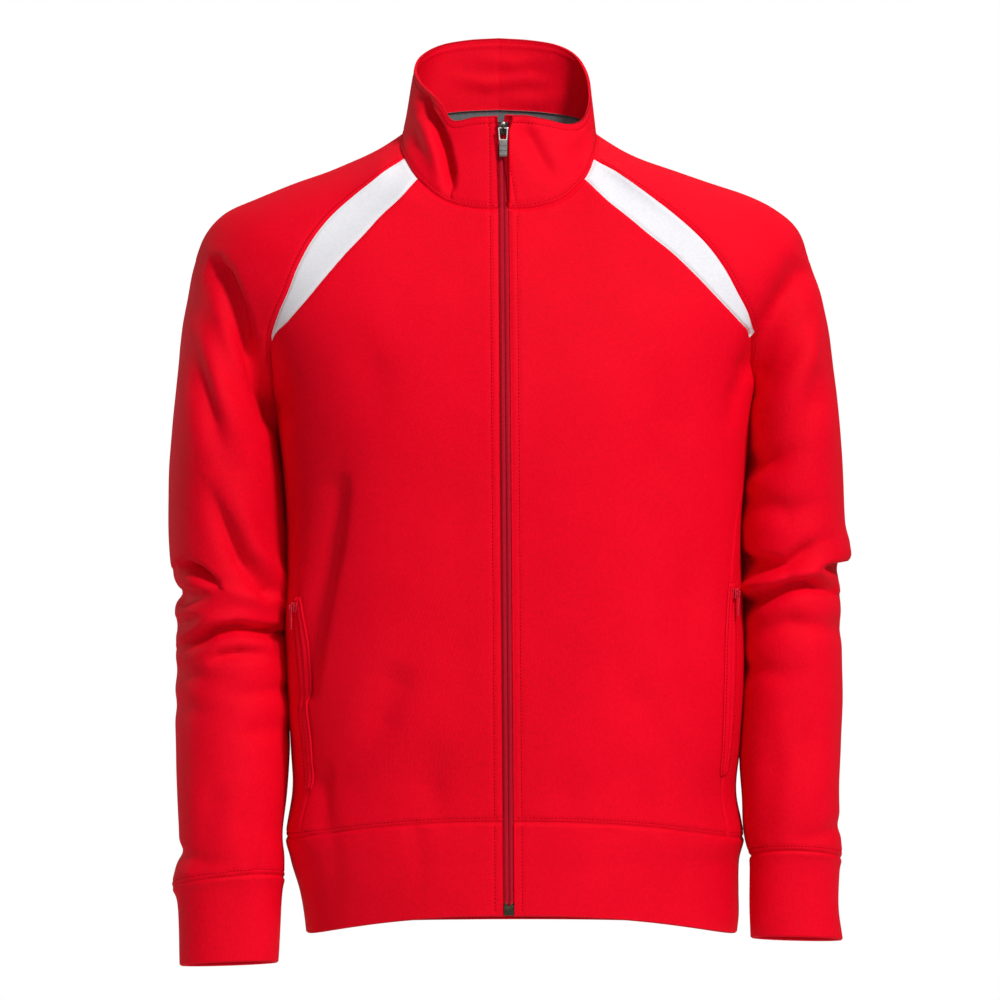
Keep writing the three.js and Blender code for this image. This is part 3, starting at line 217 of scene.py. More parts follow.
def points(x, y, z):
    return np.stack(np.broadcast_arrays(x, y, z), axis=-1).astype(float)


# Torso form and its seams

def centre_at(z):
    return curve(TORSO, "z", z, "centre")


def half_at(z):
    return curve(TORSO, "z", z, "half")


def torso_around(side, around, z):
    """Points by their angle round from the centre front (0) to the centre back (180)."""
    angle = np.radians(around)
    front, back = curve(TORSO, "z", z, "front"), curve(TORSO, "z", z, "back")
    depth = np.where(np.asarray(around) < 90, front, back)
    x = (half_at(z) - curve(EASE, "z", z, side)) * signed_power(np.sin(angle), 2 / ROUND)
    y = -depth * signed_power(np.cos(angle), 2 / ROUND)
    return points(centre_at(z) + SIGN[side] * x, y, z)


def around_at(out, z, face):
    share = np.clip(out / half_at(z), -1, 1)
    angle = np.degrees(np.arcsin(signed_power(share, ROUND / 2)))
    return np.where(np.asarray(face) < 0, angle, 180 - angle)


def hem_share(around):
    return np.maximum(np.cos(np.radians(around)), 0) ** 2


def hem_seam_z(around):
    return HEM_SEAM_Z + HEM_SEAM_RISE * hem_share(around)


def hem_z(around):
    return HEM_Z + HEM_RISE * hem_share(around)


def zip_x(z):
    share = (np.asarray(z, float) - ZIP_Z[0]) / (ZIP_Z[1] - ZIP_Z[0])
    return lerp(*ZIP_X, np.clip(share, 0, 1))


def zip_edge(side, z):
    return zip_x(z) + SIGN[side] * (ZIP_HALF + EDGE_GAP)


def zip_edge_out(side, z):
    return SIGN[side] * (zip_edge(side, z) - centre_at(z))


def outwards(side, line):
    """How far points are out from the centre line of the body."""
    return SIGN[side] * (line[..., 0] - centre_at(line[..., 2]))


def front_y(z):
    z = np.asarray(z, float)
    rim = RIM["left"]
    collar = (z - NECK["z"][0]) / (rim["z"][0] - NECK["z"][0])
    below = -curve(TORSO, "z", z, "front")
    return np.where(z < NECK["z"][0], below, lerp(NECK["y"][0], rim["y"][0], collar))


def raglan(side, t, edge):
    """The raglan seam: the insert's inner and outer edge on the front, and the back seam."""
    def line(t):
        x = curve(RAGLAN, "n", t, f"{edge}X")
        z = curve(RAGLAN, "n", t, f"{edge}Z")
        if edge == "outer":
            x = np.where(t > TIP, curve(RAGLAN, "n", t, "innerX"), x)
            z = np.where(t > TIP, curve(RAGLAN, "n", t, "innerZ"), z)
        return torso_around(side, around_at(x, z, 1 if edge == "back" else -1), z)

    t = np.asarray(t, float)
    miss = neck(side, np.array([RAGLAN_MARK[edge]])) - line(np.array([0.0]))
    return line(t) + miss[0] * np.exp(-((t[..., None] / RAGLAN_BEND) ** 2))


def side_seam(side, z):
    made = torso_around(side, curve(SIDE_SEAM, "z", z, "angle"), z)
    made[0] = raglan(side, RAGLAN["n"][-1:], "inner")[0]
    return made


def neck(side, t, rise=0.0):
    """The neck seam (rise 0) or a line further up the collar (rise 1 at its rim)."""
    x, y, z = (
        lerp(curve(NECK, "n", t, name), curve(RIM[side], "n", t, name), rise) for name in "xyz"
    )
    return points(centre_at(z) + SIGN[side] * x, y, z)


def neck_start(side):
    return zip_edge_out(side, NECK["z"][0]) / NECK["x"][1]


# Rings of the sleeves and the cuffs: middle x and z, reach x and z, depth, y and tilt

def ring_at(rows, t):
    value = {name: curve(rows, "n", t, name) for name in rows if name != "n"}
    if "midX" in value:
        x, z, tilt = value["midX"], value["midZ"], np.zeros_like(value["y"])
    else:
        x, z = (value["outX"] + value["inX"]) / 2, (value["outZ"] + value["inZ"]) / 2
        tilt = value["tilt"]
    return x, z, value["outX"] - x, value["outZ"] - z, value["deep"], value["y"], tilt


def as_columns(ring):
    """The rings' values as columns, so that each row of angles has its own ring."""
    return [value[:, None] for value in ring]


def ring_point(side, ring, angle):
    """0 is the outer side, -180 to 0 the front half and 0 to 180 the back half."""
    middle_x, middle_z, reach_x, reach_z, deep, y, tilt = ring
    turn = np.radians(angle)
    along = signed_power(np.cos(turn), 2 / SLEEVE_ROUND)
    across = signed_power(np.sin(turn), 2 / SLEEVE_ROUND)
    x = middle_x + reach_x * along
    z = middle_z + reach_z * along - tilt * across
    return points(centre_at(z) + SIGN[side] * x, y + deep * across, z)


def ring_angle(side, ring, point, face):
    middle_x, middle_z, reach_x, reach_z, deep, y, _ = ring
    x, z = outwards(side, point) - middle_x, point[..., 2] - middle_z
    along = (x * reach_x + z * reach_z) / (reach_x ** 2 + reach_z ** 2)
    across = np.abs(point[..., 1] - y) / deep
    angle = np.arctan2(
        signed_power(across, SLEEVE_ROUND / 2), signed_power(along, SLEEVE_ROUND / 2)
    )
    return face * np.abs(np.degrees(angle))


# Grids of points. A grid is an array of rows, columns and x, y, z.

EDGE_STEPS = np.array([0, 0.6, 1.3, 2.1, 3.0, 4.0, 5.0, 6.1, 7.5, 9.4])


def spaced(length, step, start=True, end=True):
    """Shares from 0 to 1 along a length, closer together at its sewn ends."""
    first = EDGE_STEPS if start else EDGE_STEPS[:1]
    last = length - EDGE_STEPS[::-1] if end else np.array([length])
    count = max(round((last[0] - first[-1]) / step), 1)
    middle = np.linspace(first[-1], last[0], count + 1)
    return np.concatenate([first[:-1], middle, last[1:]]) / length


def run_lengths(line):
    steps = np.linalg.norm(np.diff(line, axis=0), axis=-1)
    return np.concatenate([[0], np.cumsum(steps)])


def run_shares(line):
    lengths = run_lengths(line)
    return lengths / lengths[-1]


PAST_SEAM = 9.0            # how soon an edge's shift fades out below the end of its seam


def fit_edges(grid, across, down, edges, fade_across=3, fade_down=3):
    """Moves a grid's edges onto the given ones, and the rest less and less with distance."""
    def miss(name, own):
        made = np.zeros_like(own)
        if name in edges:
            count = len(edges[name])
            made[:count] = edges[name] - own[:count]
            past = np.arange(1, len(own) - count + 1)[:, None]
            made[count:] = made[count - 1] * np.exp(-((past * FINE / PAST_SEAM) ** 2))
        return made

    left, right = miss("left", grid[:, 0]), miss("right", grid[:, -1])
    top, bottom = miss("top", grid[0]), miss("bottom", grid[-1])
    near_left = ((1 - across) ** fade_across)[None, :, None]
    near_right = (across ** fade_across)[None, :, None]
    near_top = ((1 - down) ** fade_down)[:, None, None]
    near_bottom = (down ** fade_down)[:, None, None]
    moved = left[:, None] * near_left + right[:, None] * near_right
    moved += top[None] * near_top + bottom[None] * near_bottom
    moved -= top[0] * near_left * near_top + top[-1] * near_right * near_top
    moved -= bottom[0] * near_left * near_bottom + bottom[-1] * near_right * near_bottom
    return grid + moved


# Shares across and down the panels, from a length and a step in millimetres. Neighbours use
# the same ones along their seam.

FINE = 1.0
NEAR_TIP = 0.06            # no row lies nearer to the insert's tip than this, but the tip's own
RAGLAN_T = RAGLAN["n"][-1] * spaced(262, 2.8 / FINE, end=False)
RAGLAN_T = np.unique(np.append(RAGLAN_T[np.abs(RAGLAN_T - TIP) > NEAR_TIP], TIP))
RAGLAN_LAST = len(RAGLAN_T) - 1
SIDE_SHARES = spaced(360, 3.5 / FINE, start=False)
FRONT_U = spaced(240, 3.5 / FINE)
INSERT_U = spaced(30, 2.0 / FINE)
BACK_U = spaced(240, 3.6 / FINE, start=False)
SLEEVE_U = spaced(420, 2.9 / FINE)
ARM_SHARES = spaced(400, 2.6 / FINE, start=False)
CUFF_V = spaced(68, 2.6 / FINE)
HEM_V = spaced(84, 2.6 / FINE)
COLLAR_V = spaced(86, 2.8 / FINE)


def front_hem_angles(side):
    start = around_at(zip_edge_out(side, HEM_SEAM_Z), HEM_SEAM_Z, -1)
    return lerp(start, SIDE_SEAM["angle"][-1], FRONT_U)


def back_hem_angles():
    return lerp(180.0, SIDE_SEAM["angle"][-1], BACK_U)


def front_neck_steps(side):
    return lerp(neck_start(side), INSERT_MARK, FRONT_U)


def body_panel(side, seam, shares, steps, angles, zipped):
    """A front, or half of the back, from the zip or the middle line to the side."""
    levels = lerp(UNDERARM_Z, hem_seam_z(SIDE_SEAM["angle"][-1]), SIDE_SHARES)
    outer = np.vstack([raglan(side, RAGLAN_T, seam), side_seam(side, levels)[1:]])
    down = run_shares(outer)
    z = lerp(NECK["z"][0 if zipped else -1], hem_seam_z(angles[0]), down)
    start = around_at(zip_edge_out(side, z), z, -1) if zipped else np.full_like(z, 180)
    stop = around_at(outwards(side, outer), outer[:, 2], np.where(outer[:, 1] < 0, -1, 1))
    around = lerp(start[:, None], stop[:, None], shares[None])
    grid = torso_around(side, around, lerp(z[:, None], outer[:, 2:], shares[None]))
    first, top = grid[:, 0].copy(), neck(side, steps)
    bottom = torso_around(side, angles, hem_seam_z(angles))
    if zipped:
        for line in (first, top[:1], bottom[:1]):
            line[:, 0] = zip_edge(side, line[:, 2])
    first[0], first[-1] = top[0], bottom[0]
    outer[0], outer[-1] = top[-1], bottom[-1]
    edges = {"left": first, "right": outer, "top": top, "bottom": bottom}
    return fit_edges(grid, shares, down, edges), down


def front_grid(side):
    return body_panel(
        side, "inner", FRONT_U, front_neck_steps(side), front_hem_angles(side), True,
    )


def back_grid():
    steps = lerp(MIDDLE_MARK, BACK_MARK, BACK_U)
    (right, down), (left, _) = (
        body_panel(side, "back", BACK_U, steps, back_hem_angles(), False) for side in SIGN
    )
    across = np.concatenate([0.5 - BACK_U[::-1] / 2, 0.5 + BACK_U[1:] / 2])
    return np.concatenate([right[:, ::-1], left[:, 1:]], axis=1), across, down


def insert_grid(side):
    rows = RAGLAN_T[RAGLAN_T <= TIP]
    inner, outer = raglan(side, rows, "inner"), raglan(side, rows, "outer")
    out = lerp(outwards(side, inner)[:, None], outwards(side, outer)[:, None], INSERT_U[None])
    z = lerp(inner[:, 2:], outer[:, 2:], INSERT_U[None])
    grid = torso_around(side, around_at(out, z, -1), z)
    top = neck(side, lerp(INSERT_MARK, SLEEVE_MARK, INSERT_U))
    inner[0], outer[0] = top[0], top[-1]
    down = run_shares(inner)
    edges = {"left": inner, "right": outer, "top": top}
    return fit_edges(grid, INSERT_U, down, edges), down


SLEEVE_FADE_DOWN = 14      # a sleeve's top edge moves only the rows near it
EVEN_ROWS = 9              # rows round the underarm which are evened out
EVEN_SHARE = 0.06          # share of a sleeve's width that stays as it is at its seams
EVEN_ROUNDS = 60


def sleeve_grid(side):
    left, right = raglan(side, RAGLAN_T, "outer"), raglan(side, RAGLAN_T, "back")
    top = neck(side, lerp(SLEEVE_MARK, BACK_MARK, SLEEVE_U))
    cap = ring_at(CAP[side], RAGLAN_T)
    start, stop = ring_angle(side, cap, left, -1), ring_angle(side, cap, right, 1)
    start[-1], stop[-1] = -180, 180
    angles = lerp(start[:, None], stop[:, None], SLEEVE_U[None])
    upper = ring_point(side, as_columns(cap), angles)
    rows = ARM[side]
    n = np.linspace(0, rows["n"][-1], 400)
    trace = points(curve(rows, "n", n, "outX"), 0, curve(rows, "n", n, "outZ"))
    arm = ring_at(rows, np.interp(ARM_SHARES[1:], run_shares(trace), n))
    lower = ring_point(side, as_columns(arm), lerp(-180, 180, SLEEVE_U)[None])
    grid = np.vstack([upper, lower])
    left[0], right[0] = top[0], top[-1]
    down = run_shares(grid[:, len(SLEEVE_U) // 2])
    edges = {"left": left, "right": right, "top": top}
    grid = fit_edges(grid, SLEEVE_U, down, edges, fade_down=SLEEVE_FADE_DOWN)
    near = np.exp(-(((np.arange(len(grid)) - RAGLAN_LAST) / EVEN_ROWS) ** 2))
    inside = smooth_step(0, EVEN_SHARE, SLEEVE_U) * smooth_step(0, EVEN_SHARE, 1 - SLEEVE_U)
    pull = 0.5 * near[1:-1, None, None] * inside[None, :, None]
    for _ in range(EVEN_ROUNDS):
        between = (grid[:-2] + grid[2:]) / 2
        grid[1:-1] += pull * (between - grid[1:-1])
    return grid, down


def cuff_grid(side):
    rows = CUFF[side]
    ring = as_columns(ring_at(rows, CUFF_V * rows["n"][-1]))
    return ring_point(side, ring, lerp(-180, 180, SLEEVE_U)[None])


def around_loop(strip):
    """Joins the strips of both sides at the middle of the back, right side first."""
    right, left = strip("right"), strip("left")
    return np.concatenate([right, left[:, ::-1][:, 1:]], axis=1)


def hem_strip(side):
    angles = np.concatenate([front_hem_angles(side), back_hem_angles()[::-1][1:]])
    z = lerp(hem_seam_z(angles)[None], hem_z(angles)[None], HEM_V[:, None])
    made = torso_around(side, angles[None].repeat(len(HEM_V), axis=0), z)
    made[:, 0, 0] = zip_edge(side, made[:, 0, 2])
    return made


COLLAR_NOTCH = {"right": -1.2, "left": 3.2}     # the collar opens a little at its top
NOTCH_WIDTH = 14.0
NOTCH_FROM, NOTCH_TO = 5.0, 17.0                # heights between which it opens


def collar_strip(side):
    t = np.concatenate([
        front_neck_steps(side),
        lerp(INSERT_MARK, SLEEVE_MARK, INSERT_U)[1:],
        lerp(SLEEVE_MARK, BACK_MARK, SLEEVE_U)[1:],
        lerp(MIDDLE_MARK, BACK_MARK, BACK_U)[::-1][1:],
    ])
    made = neck(side, t[None].repeat(len(COLLAR_V), axis=0), 1 - COLLAR_V[:, None])
    made[:, 0, 0] = zip_edge(side, made[:, 0, 2])
    from_zip = np.abs(made[..., 0] - made[:, :1, 0])
    share = np.exp(-(from_zip / NOTCH_WIDTH) ** 2)
    share *= smooth_step(NOTCH_FROM, NOTCH_TO, made[..., 2])
    made[..., 0] += np.where(made[..., 1] < 0, COLLAR_NOTCH[side] * share, 0)
    return made


# Folds by the pieces that they are on ("all" crosses the raglan seams) and the face (-1
# front, 1 back). Each has its half width, the share of that width on its steep side, its
# depth (a minus is a ridge) and its line as x, z and share of the depth.

FOLDS = [
    ("arm", -1, [
        (12, 0.5, 16, (-261, -103, 0.1), (-252, -106, 0.7), (-244, -116, 1), (-237, -132, 1),
         (-224, -168, 1), (-208, -208, 0.9), (-198, -235, 0.6)),
        (9, 1, -5.1, (-251, -138, 0.2), (-240, -165, 1), (-225, -196, 1), (-211, -222, 0.3)),
        (12, 0.8, 9.7, (-275, -175, 0.3), (-264, -210, 1), (-254, -239, 1), (-243, -270, 0.2)),
        (13, 1, 5.7, (-245, -163, 0.3), (-228, -210, 1), (-207, -262, 0.2)),
        (12, 0.7, -7.5, (-236, -297, 0.2), (-216, -353, 1), (-194, -381, 0.7)),
        (10, 0.6, 11.2, (-258, -297, 0.1), (-242, -328, 0.7), (-228, -358, 1), (-208, -385, 0.6)),
        (7, 0.42, 17.5, (-287, -366, 0.15), (-277, -364, 1), (-264, -370, 1), (-250, -380, 0.4)),
        (7, 0.7, 8.5, (-291, -393, 1), (-274, -392, 0.7), (-254, -388, 0.5), (-226, -393, 0.2)),
        (8, 0.7, -6.1, (-272, -380, 0.4), (-248, -388, 1), (-220, -392, 0.9), (-193, -398, 0.7)),
        (6, 0.6, 9, (-292, -416, 1), (-276, -413, 0.8), (-262, -410, 0.2)),
        (7, 0.4, 16.5, (-284, -434, 0.1), (-268, -427, 0.8), (-252, -419, 1), (-231, -416, 1),
         (-198, -421, 0.8)),
        (7, 0.8, -4.1, (-285, -417, 0.3), (-260, -412, 1), (-225, -410, 0.4)),
        (7, 0.5, 7.6, (-260, -448, 0), (-247, -442, 0.8), (-230, -439, 1), (-211, -440, 0.4)),
        (9, 0.9, 4.2, (-284, -457, 0.9), (-260, -462, 0.7), (-230, -460, 0.1)),
        (9, 0.9, 3.8, (-246, -472, 0.1), (-222, -475, 0.8), (-193, -472, 0.8)),
        (9, 0.9, 3.2, (-285, -486, 0.8), (-263, -491, 0.6), (-237, -489, 0)),
        (10, 0.9, 3.1, (-237, -512, 0), (-215, -507, 0.8), (-191, -505, 0.7)),
        (15, 1, 3.8, (-237, -249, 0.2), (-230, -283, 1), (-238, -326, 0.1)),
        (14, 1, 3.5, (-260, -532, 0.2), (-253, -567, 1), (-261, -608, 0.6)),
        (12, 1, 3.8, (-220, -550, 0.1), (-222, -584, 1), (-215, -624, 0.8)),
        (8, 0.8, 4.7, (-284, -612, 0.9), (-260, -620, 0.6), (-232, -617, 0.1)),
    ]),
    ("all", -1, [
        (15, 0.7, 12.8, (259, -102, 0.2), (255, -110, 0.6), (242, -133, 1), (227, -161, 1),
         (213, -194, 0.8)),
    ]),
    ("arm", -1, [
        (12, 0.9, -5.3, (267, -134, 0.3), (256, -190, 1), (236, -219, 0.8), (212, -239, 0.4)),
        (12, 0.8, 7, (202, -278, 0.9), (223, -274, 1), (247, -268, 0.2)),
        (13, 1, 5.7, (272, -182, 0.2), (264, -223, 1), (241, -259, 0.4)),
        (12, 0.8, 5.3, (209, -309, 0.7), (238, -319, 1), (269, -312, 0.2)),
        (11, 0.6, 11.2, (199, -360, 0.7), (214, -364, 1), (237, -365, 1), (254, -353, 0.8),
         (271, -343, 0.3)),
        (9, 0.7, -6.9, (202, -387, 0.6), (220, -379, 1), (234, -374, 1), (262, -368, 1),
         (294, -357, 0.6)),
        (8, 0.45, 15.8, (200, -400, 0.5), (213, -392, 0.9), (223, -388, 1), (242, -381, 1),
         (262, -379, 1), (280, -386, 0.5)),
        (5, 0.7, 10.9, (268, -367, 0.3), (277, -366, 1), (292, -366, 1)),
        (10, 0.8, 6.1, (209, -424, 0.2), (242, -414, 1), (283, -419, 0.6)),
        (10, 0.9, 4.2, (203, -453, 0.8), (234, -458, 0.7), (261, -453, 0.1)),
        (13, 1, 3.8, (251, -472, 0.1), (256, -515, 1), (249, -567, 0.3)),
        (12, 1, 3.5, (223, -498, 0.1), (227, -541, 1), (220, -589, 0.6)),
        (8, 0.8, 4.2, (284, -591, 0.8), (261, -598, 0.6), (237, -595, 0.1)),
    ]),
    ("body", -1, [
        (14, 0.5, 12, (-140, -284, 0.1), (-142, -300, 0.6), (-148, -344, 1), (-158, -390, 1),
         (-166, -435, 0.9), (-171, -472, 0.5)),
        (18, 0.9, 5.8, (-88, -447, 0.1), (-95, -464, 0.8), (-110, -496, 1), (-123, -521, 0.2)),
        (10, 0.8, 5, (-161, -532, 0.1), (-159, -545, 1), (-157, -584, 0.8)),
        (9, 0.7, 7, (-201, -176, 0.4), (-196, -196, 1), (-191, -226, 0.7)),
        (20, 0.9, 3.8, (-132, -168, 0.1), (-115, -201, 1), (-108, -250, 0.2)),
        (22, 1, 3.5, (119, -184, 0.1), (131, -242, 1), (124, -309, 0.2)),
        (18, 0.9, 4.6, (161, -326, 0.1), (156, -393, 1), (165, -469, 0.2)),
        (16, 0.9, 3.8, (96, -427, 0.1), (111, -477, 1), (138, -521, 0.2)),
        (14, 0.9, 3.1, (-58, -513, 0.1), (-64, -550, 1), (-59, -584, 0.6)),
        (14, 0.9, 3.1, (55, -528, 0.1), (49, -558, 1), (52, -584, 0.6)),
        (9, 0.7, 5.8, (204, -201, 0.4), (197, -218, 1), (192, -241, 0.3)),
    ]),
    ("arm", -1, [
        (8, 0.8, 5.3, (-205, -392, 0.9), (-196, -410, 0.2)),
    ]),
    ("all", 1, [
        (15, 0.8, 10.5, (-262, -96, 0.3), (-236, -150, 1), (-208, -206, 0.8)),
    ]),
    ("arm", 1, [
        (12, 0.7, 9.5, (-286, -190, 0.1), (-262, -238, 0.9), (-222, -290, 1)),
        (14, 0.9, 5.5, (-290, -270, 0.3), (-258, -330, 1), (-230, -352, 0.1)),
        (9, 0.5, 10.5, (-292, -372, 0.6), (-262, -386, 1), (-222, -380, 0.7)),
        (10, 0.7, -5.9, (-288, -398, 0.5), (-254, -404, 1), (-214, -398, 0.6)),
        (8, 0.5, 9.7, (-290, -430, 0.7), (-250, -424, 1), (-210, -434, 0.5)),
        (11, 0.9, 4.2, (-270, -500, 0.1), (-246, -520, 1), (-214, -528, 0.4)),
    ]),
    ("all", 1, [
        (15, 0.8, 10.5, (262, -98, 0.3), (238, -152, 1), (210, -206, 0.8)),
    ]),
    ("arm", 1, [
        (12, 0.7, 8.4, (278, -196, 0.1), (258, -246, 1), (222, -280, 0.8)),
        (9, 0.5, 10.5, (288, -362, 0.5), (256, -378, 1), (214, -370, 0.8)),
        (10, 0.7, -5.5, (282, -386, 0.6), (250, -398, 1), (212, -392, 0.4)),
        (8, 0.55, 7.6, (280, -414, 0.3), (248, -418, 1), (208, -426, 0.8)),
        (12, 0.9, 4.2, (272, -480, 0.2), (244, -500, 1), (216, -498, 0.3)),
    ]),
    ("body", 1, [
        (24, 0.9, 8.6, (-66, -300, 0.1), (-52, -400, 1), (-64, -560, 0.6)),
        (22, 0.8, 9.1, (78, -280, 0.1), (62, -400, 1), (72, -545, 0.5)),
        (20, 0.9, 7.2, (-128, -250, 0.6), (-108, -330, 1), (-96, -400, 0.1)),
        (18, 0.8, 7.2, (140, -246, 0.7), (116, -330, 1), (104, -392, 0.1)),
        (16, 0.9, 5.3, (-30, -470, 0.1), (6, -498, 1), (48, -486, 0.2)),
        (14, 0.9, 5.8, (-146, -470, 0.2), (-150, -530, 1), (-142, -590, 0.8)),
        (14, 0.9, 5.3, (150, -480, 0.1), (156, -540, 1), (150, -592, 0.7)),
        (12, 0.9, 4.3, (-60, 2, 0.2), (-20, -6, 1), (34, -2, 0.8), (66, 6, 0.2)),
    ]),
    ("band", -1, [
        (9, 0.8, 2.4, (-150, -592, 0.9), (-146, -630, 0.5), (-150, -664, 0.1)),
        (10, 0.8, 2, (-78, -590, 0.8), (-74, -622, 0.6), (-82, -650, 0.1)),
        (10, 0.8, 2, (84, -590, 0.8), (80, -624, 0.5), (86, -652, 0.1)),
        (9, 0.8, 2.2, (152, -596, 0.9), (150, -630, 0.6), (156, -662, 0.1)),
    ]),
    ("band", 1, [
        (11, 0.8, 2.1, (-96, -604, 0.8), (-92, -650, 0.2)),
        (11, 0.8, 2.1, (108, -604, 0.8), (100, -652, 0.2)),
    ]),
    ("collar", -1, [
        (7, 0.4, 16, (-71, 38, 0.4), (-68, 25, 0.9), (-60, 12, 1), (-53, -6, 1), (-48, -28, 0.9),
         (-48, -42, 0.3)),
        (8, 0.8, -3.8, (-76, 28, 0.3), (-68, 8, 1), (-60, -16, 0.9), (-56, -40, 0.2)),
        (9, 0.7, 4, (-86, 22, 0.4), (-78, -4, 1), (-70, -24, 0.3)),
        (10, 0.7, 6, (10, 16, 0.2), (18, 2, 1), (32, -24, 0.8), (40, -36, 0.1)),
        (12, 0.9, -2.8, (44, 12, 0.3), (50, -6, 1), (56, -28, 0.2)),
        (9, 0.8, 3.3, (70, 8, 0.5), (66, -8, 1), (66, -22, 0.2)),
    ]),
    ("collar", 1, [
        (7, 0.7, 2.6, (-54, 66, 0.1), (-20, 60, 1), (18, 64, 0.8), (40, 60, 0.1)),
        (7, 0.7, 2.2, (-30, 82, 0.1), (4, 78, 1), (36, 82, 0.2)),
        (8, 0.8, 2.4, (-10, 46, 0.1), (26, 44, 1), (58, 50, 0.2)),
    ]),
]
FADE_AT_SEAM = 26.0        # how far from the raglan seam a fold reaches its depth
FACE_FROM, FACE_TO = -15.0, 20.0               # how far round from its face a fold goes
FAR = 99.0


def fold_depth(grid, on, away):
    """How far the folds push each point in. away is how far it is from the raglan seam."""
    flat = grid.reshape(-1, 3)
    fade = smooth_step(0, FADE_AT_SEAM, away.reshape(-1))
    depth = np.zeros(len(flat))
    for where, face, folds in FOLDS:
        if where not in ("all", on):
            continue
        facing = smooth_step(FACE_FROM, FACE_TO, face * flat[:, 1])
        for wide, sharp, deep, *line in folds:
            near = np.full(len(flat), np.inf)
            shape = np.zeros(len(flat))
            for (x0, z0, k0), (x1, z1, k1) in zip(line, line[1:]):
                run = np.array([x1 - x0, z1 - z0], float)
                off = flat[:, ::2] - (x0, z0)
                t = np.clip(off @ run / (run @ run), 0, 1)
                away_from = np.linalg.norm(off - t[:, None] * run, axis=1)
                steep = run[0] * off[:, 1] - run[1] * off[:, 0] > 0
                width = np.where(steep, wide * sharp, wide)
                here = lerp(k0, k1, t) * np.exp(-(away_from / width) ** 2)
                shape = np.where(away_from < near, here, shape)
                near = np.minimum(away_from, near)
            depth += facing * deep * shape * (1 if where == "all" else fade)
    return depth.reshape(grid.shape[:2])


WAVES = np.random.default_rng(7).uniform(-1, 1, (9, 4))


def unrest(grid, length, height):
    """Slight unevenness of hanging cloth, as a few crossing waves of no fixed direction."""
    total = np.zeros(grid.shape[:2])
    for k, (a, b, c, phase) in enumerate(WAVES):
        way = np.array([a, 0.6 * b, 0.7 * c])
        wave = grid @ way * (2 * np.pi / (length * (0.7 + 0.11 * k) * np.linalg.norm(way)))
        total += np.sin(wave + 6.3 * phase)
    return height * total / len(WAVES) ** 0.5


ZIP_EDGES = {"front": ("left",), "hem": ("left", "right"), "collar": ("left", "right")}
STILL_TO, FREE_FROM = 2, 40                    # distances from the zip
BROAD_UNREST, FINE_UNREST = (150, 0.8), (46, 0.16)     # length and height of the waves
SEAM_FADE = 22             # how soon the shift that joins two pieces at a seam fades


def cloth_unrest(piece):
    """Broad and fine unevenness of a piece, which dies out at the zip."""
    still = np.ones(piece.grid.shape[:2])
    for edge in ZIP_EDGES.get(piece.kind, ()):
        still *= smooth_step(STILL_TO, FREE_FROM, piece.away[edge])
    return (unrest(piece.grid, *BROAD_UNREST) + unrest(piece.grid, *FINE_UNREST)) * still


# Cloth pieces

class Piece:
    """A cloth piece: its outer grid, which way it faces, and how far each point is in."""

    def __init__(self, name, grid, across, down, facing, on, free=(), closed_from=None):
        self.name, self.grid, self.across, self.down = name, grid, across, down
        self.facing, self.on, self.free, self.closed_from = facing, on, free, closed_from
        self.kind = name.split("_")[0]
        self.measure()
        steps = np.linalg.norm(np.diff(grid, axis=1), axis=-1)
        runs = np.linalg.norm(np.diff(grid, axis=0), axis=-1)
        self.flat = (steps.sum(1).max() * MM, runs.sum(0).max() * MM)
        cells = np.linalg.norm(np.cross(
            grid[1:, 1:] - grid[:-1, :-1], grid[:-1, 1:] - grid[1:, :-1]), axis=-1)
        self.area = cells.sum() / 2 * MM * MM

    def measure(self):
        """Distances in from the edges, along the cloth."""
        rows = np.linalg.norm(np.diff(self.grid, axis=1), axis=-1)
        columns = np.linalg.norm(np.diff(self.grid, axis=0), axis=-1)
        left = np.concatenate([np.zeros((len(self.grid), 1)), np.cumsum(rows, axis=1)], axis=1)
        top = np.concatenate([np.zeros((1, self.grid.shape[1])), np.cumsum(columns, axis=0)])
        self.away = {
            "left": left, "right": left[:, -1:] - left, "top": top, "bottom": top[-1:] - top,
        }

    def faces(self):
        across = self.grid[:-1, 1:] - self.grid[1:, :-1]
        along = self.grid[1:, 1:] - self.grid[:-1, :-1]
        made = np.cross(across, along) * self.facing
        sums = np.zeros_like(self.grid)
        sums[:-1, :-1] += made
        sums[1:, :-1] += made
        sums[:-1, 1:] += made
        sums[1:, 1:] += made
        return sums


def unit(vectors):
    return vectors / np.maximum(np.linalg.norm(vectors, axis=-1, keepdims=True), 1e-12)


def by_place(grids, values):
    """Sums the values of points that lie in the same place."""
    places = np.concatenate([grid.reshape(-1, 3) for grid in grids])
    keys = np.round(places * 50).astype(np.int64)
    _, index = np.unique(keys, axis=0, return_inverse=True)
    index = index.reshape(-1)
    sums = np.zeros((index.max() + 1, 3))
    np.add.at(sums, index, np.concatenate([value.reshape(-1, 3) for value in values]))
    shared = sums[index]
    cuts = np.cumsum([grid[..., 0].size for grid in grids])[:-1]
    return [part.reshape(grid.shape) for part, grid in zip(np.split(shared, cuts), grids)]


def raglan_away(piece):
    """How far a point is from the raglan seam and the underarm."""
    away = piece.away
    if piece.on not in ("arm", "body"):
        return np.full(piece.grid.shape[:2], FAR)
    near = away["right"]
    if piece.kind != "front":
        near = np.minimum(away["left"], near)
    below = np.maximum(away["top"] - away["top"][RAGLAN_LAST], 0)
    return np.hypot(near, below)


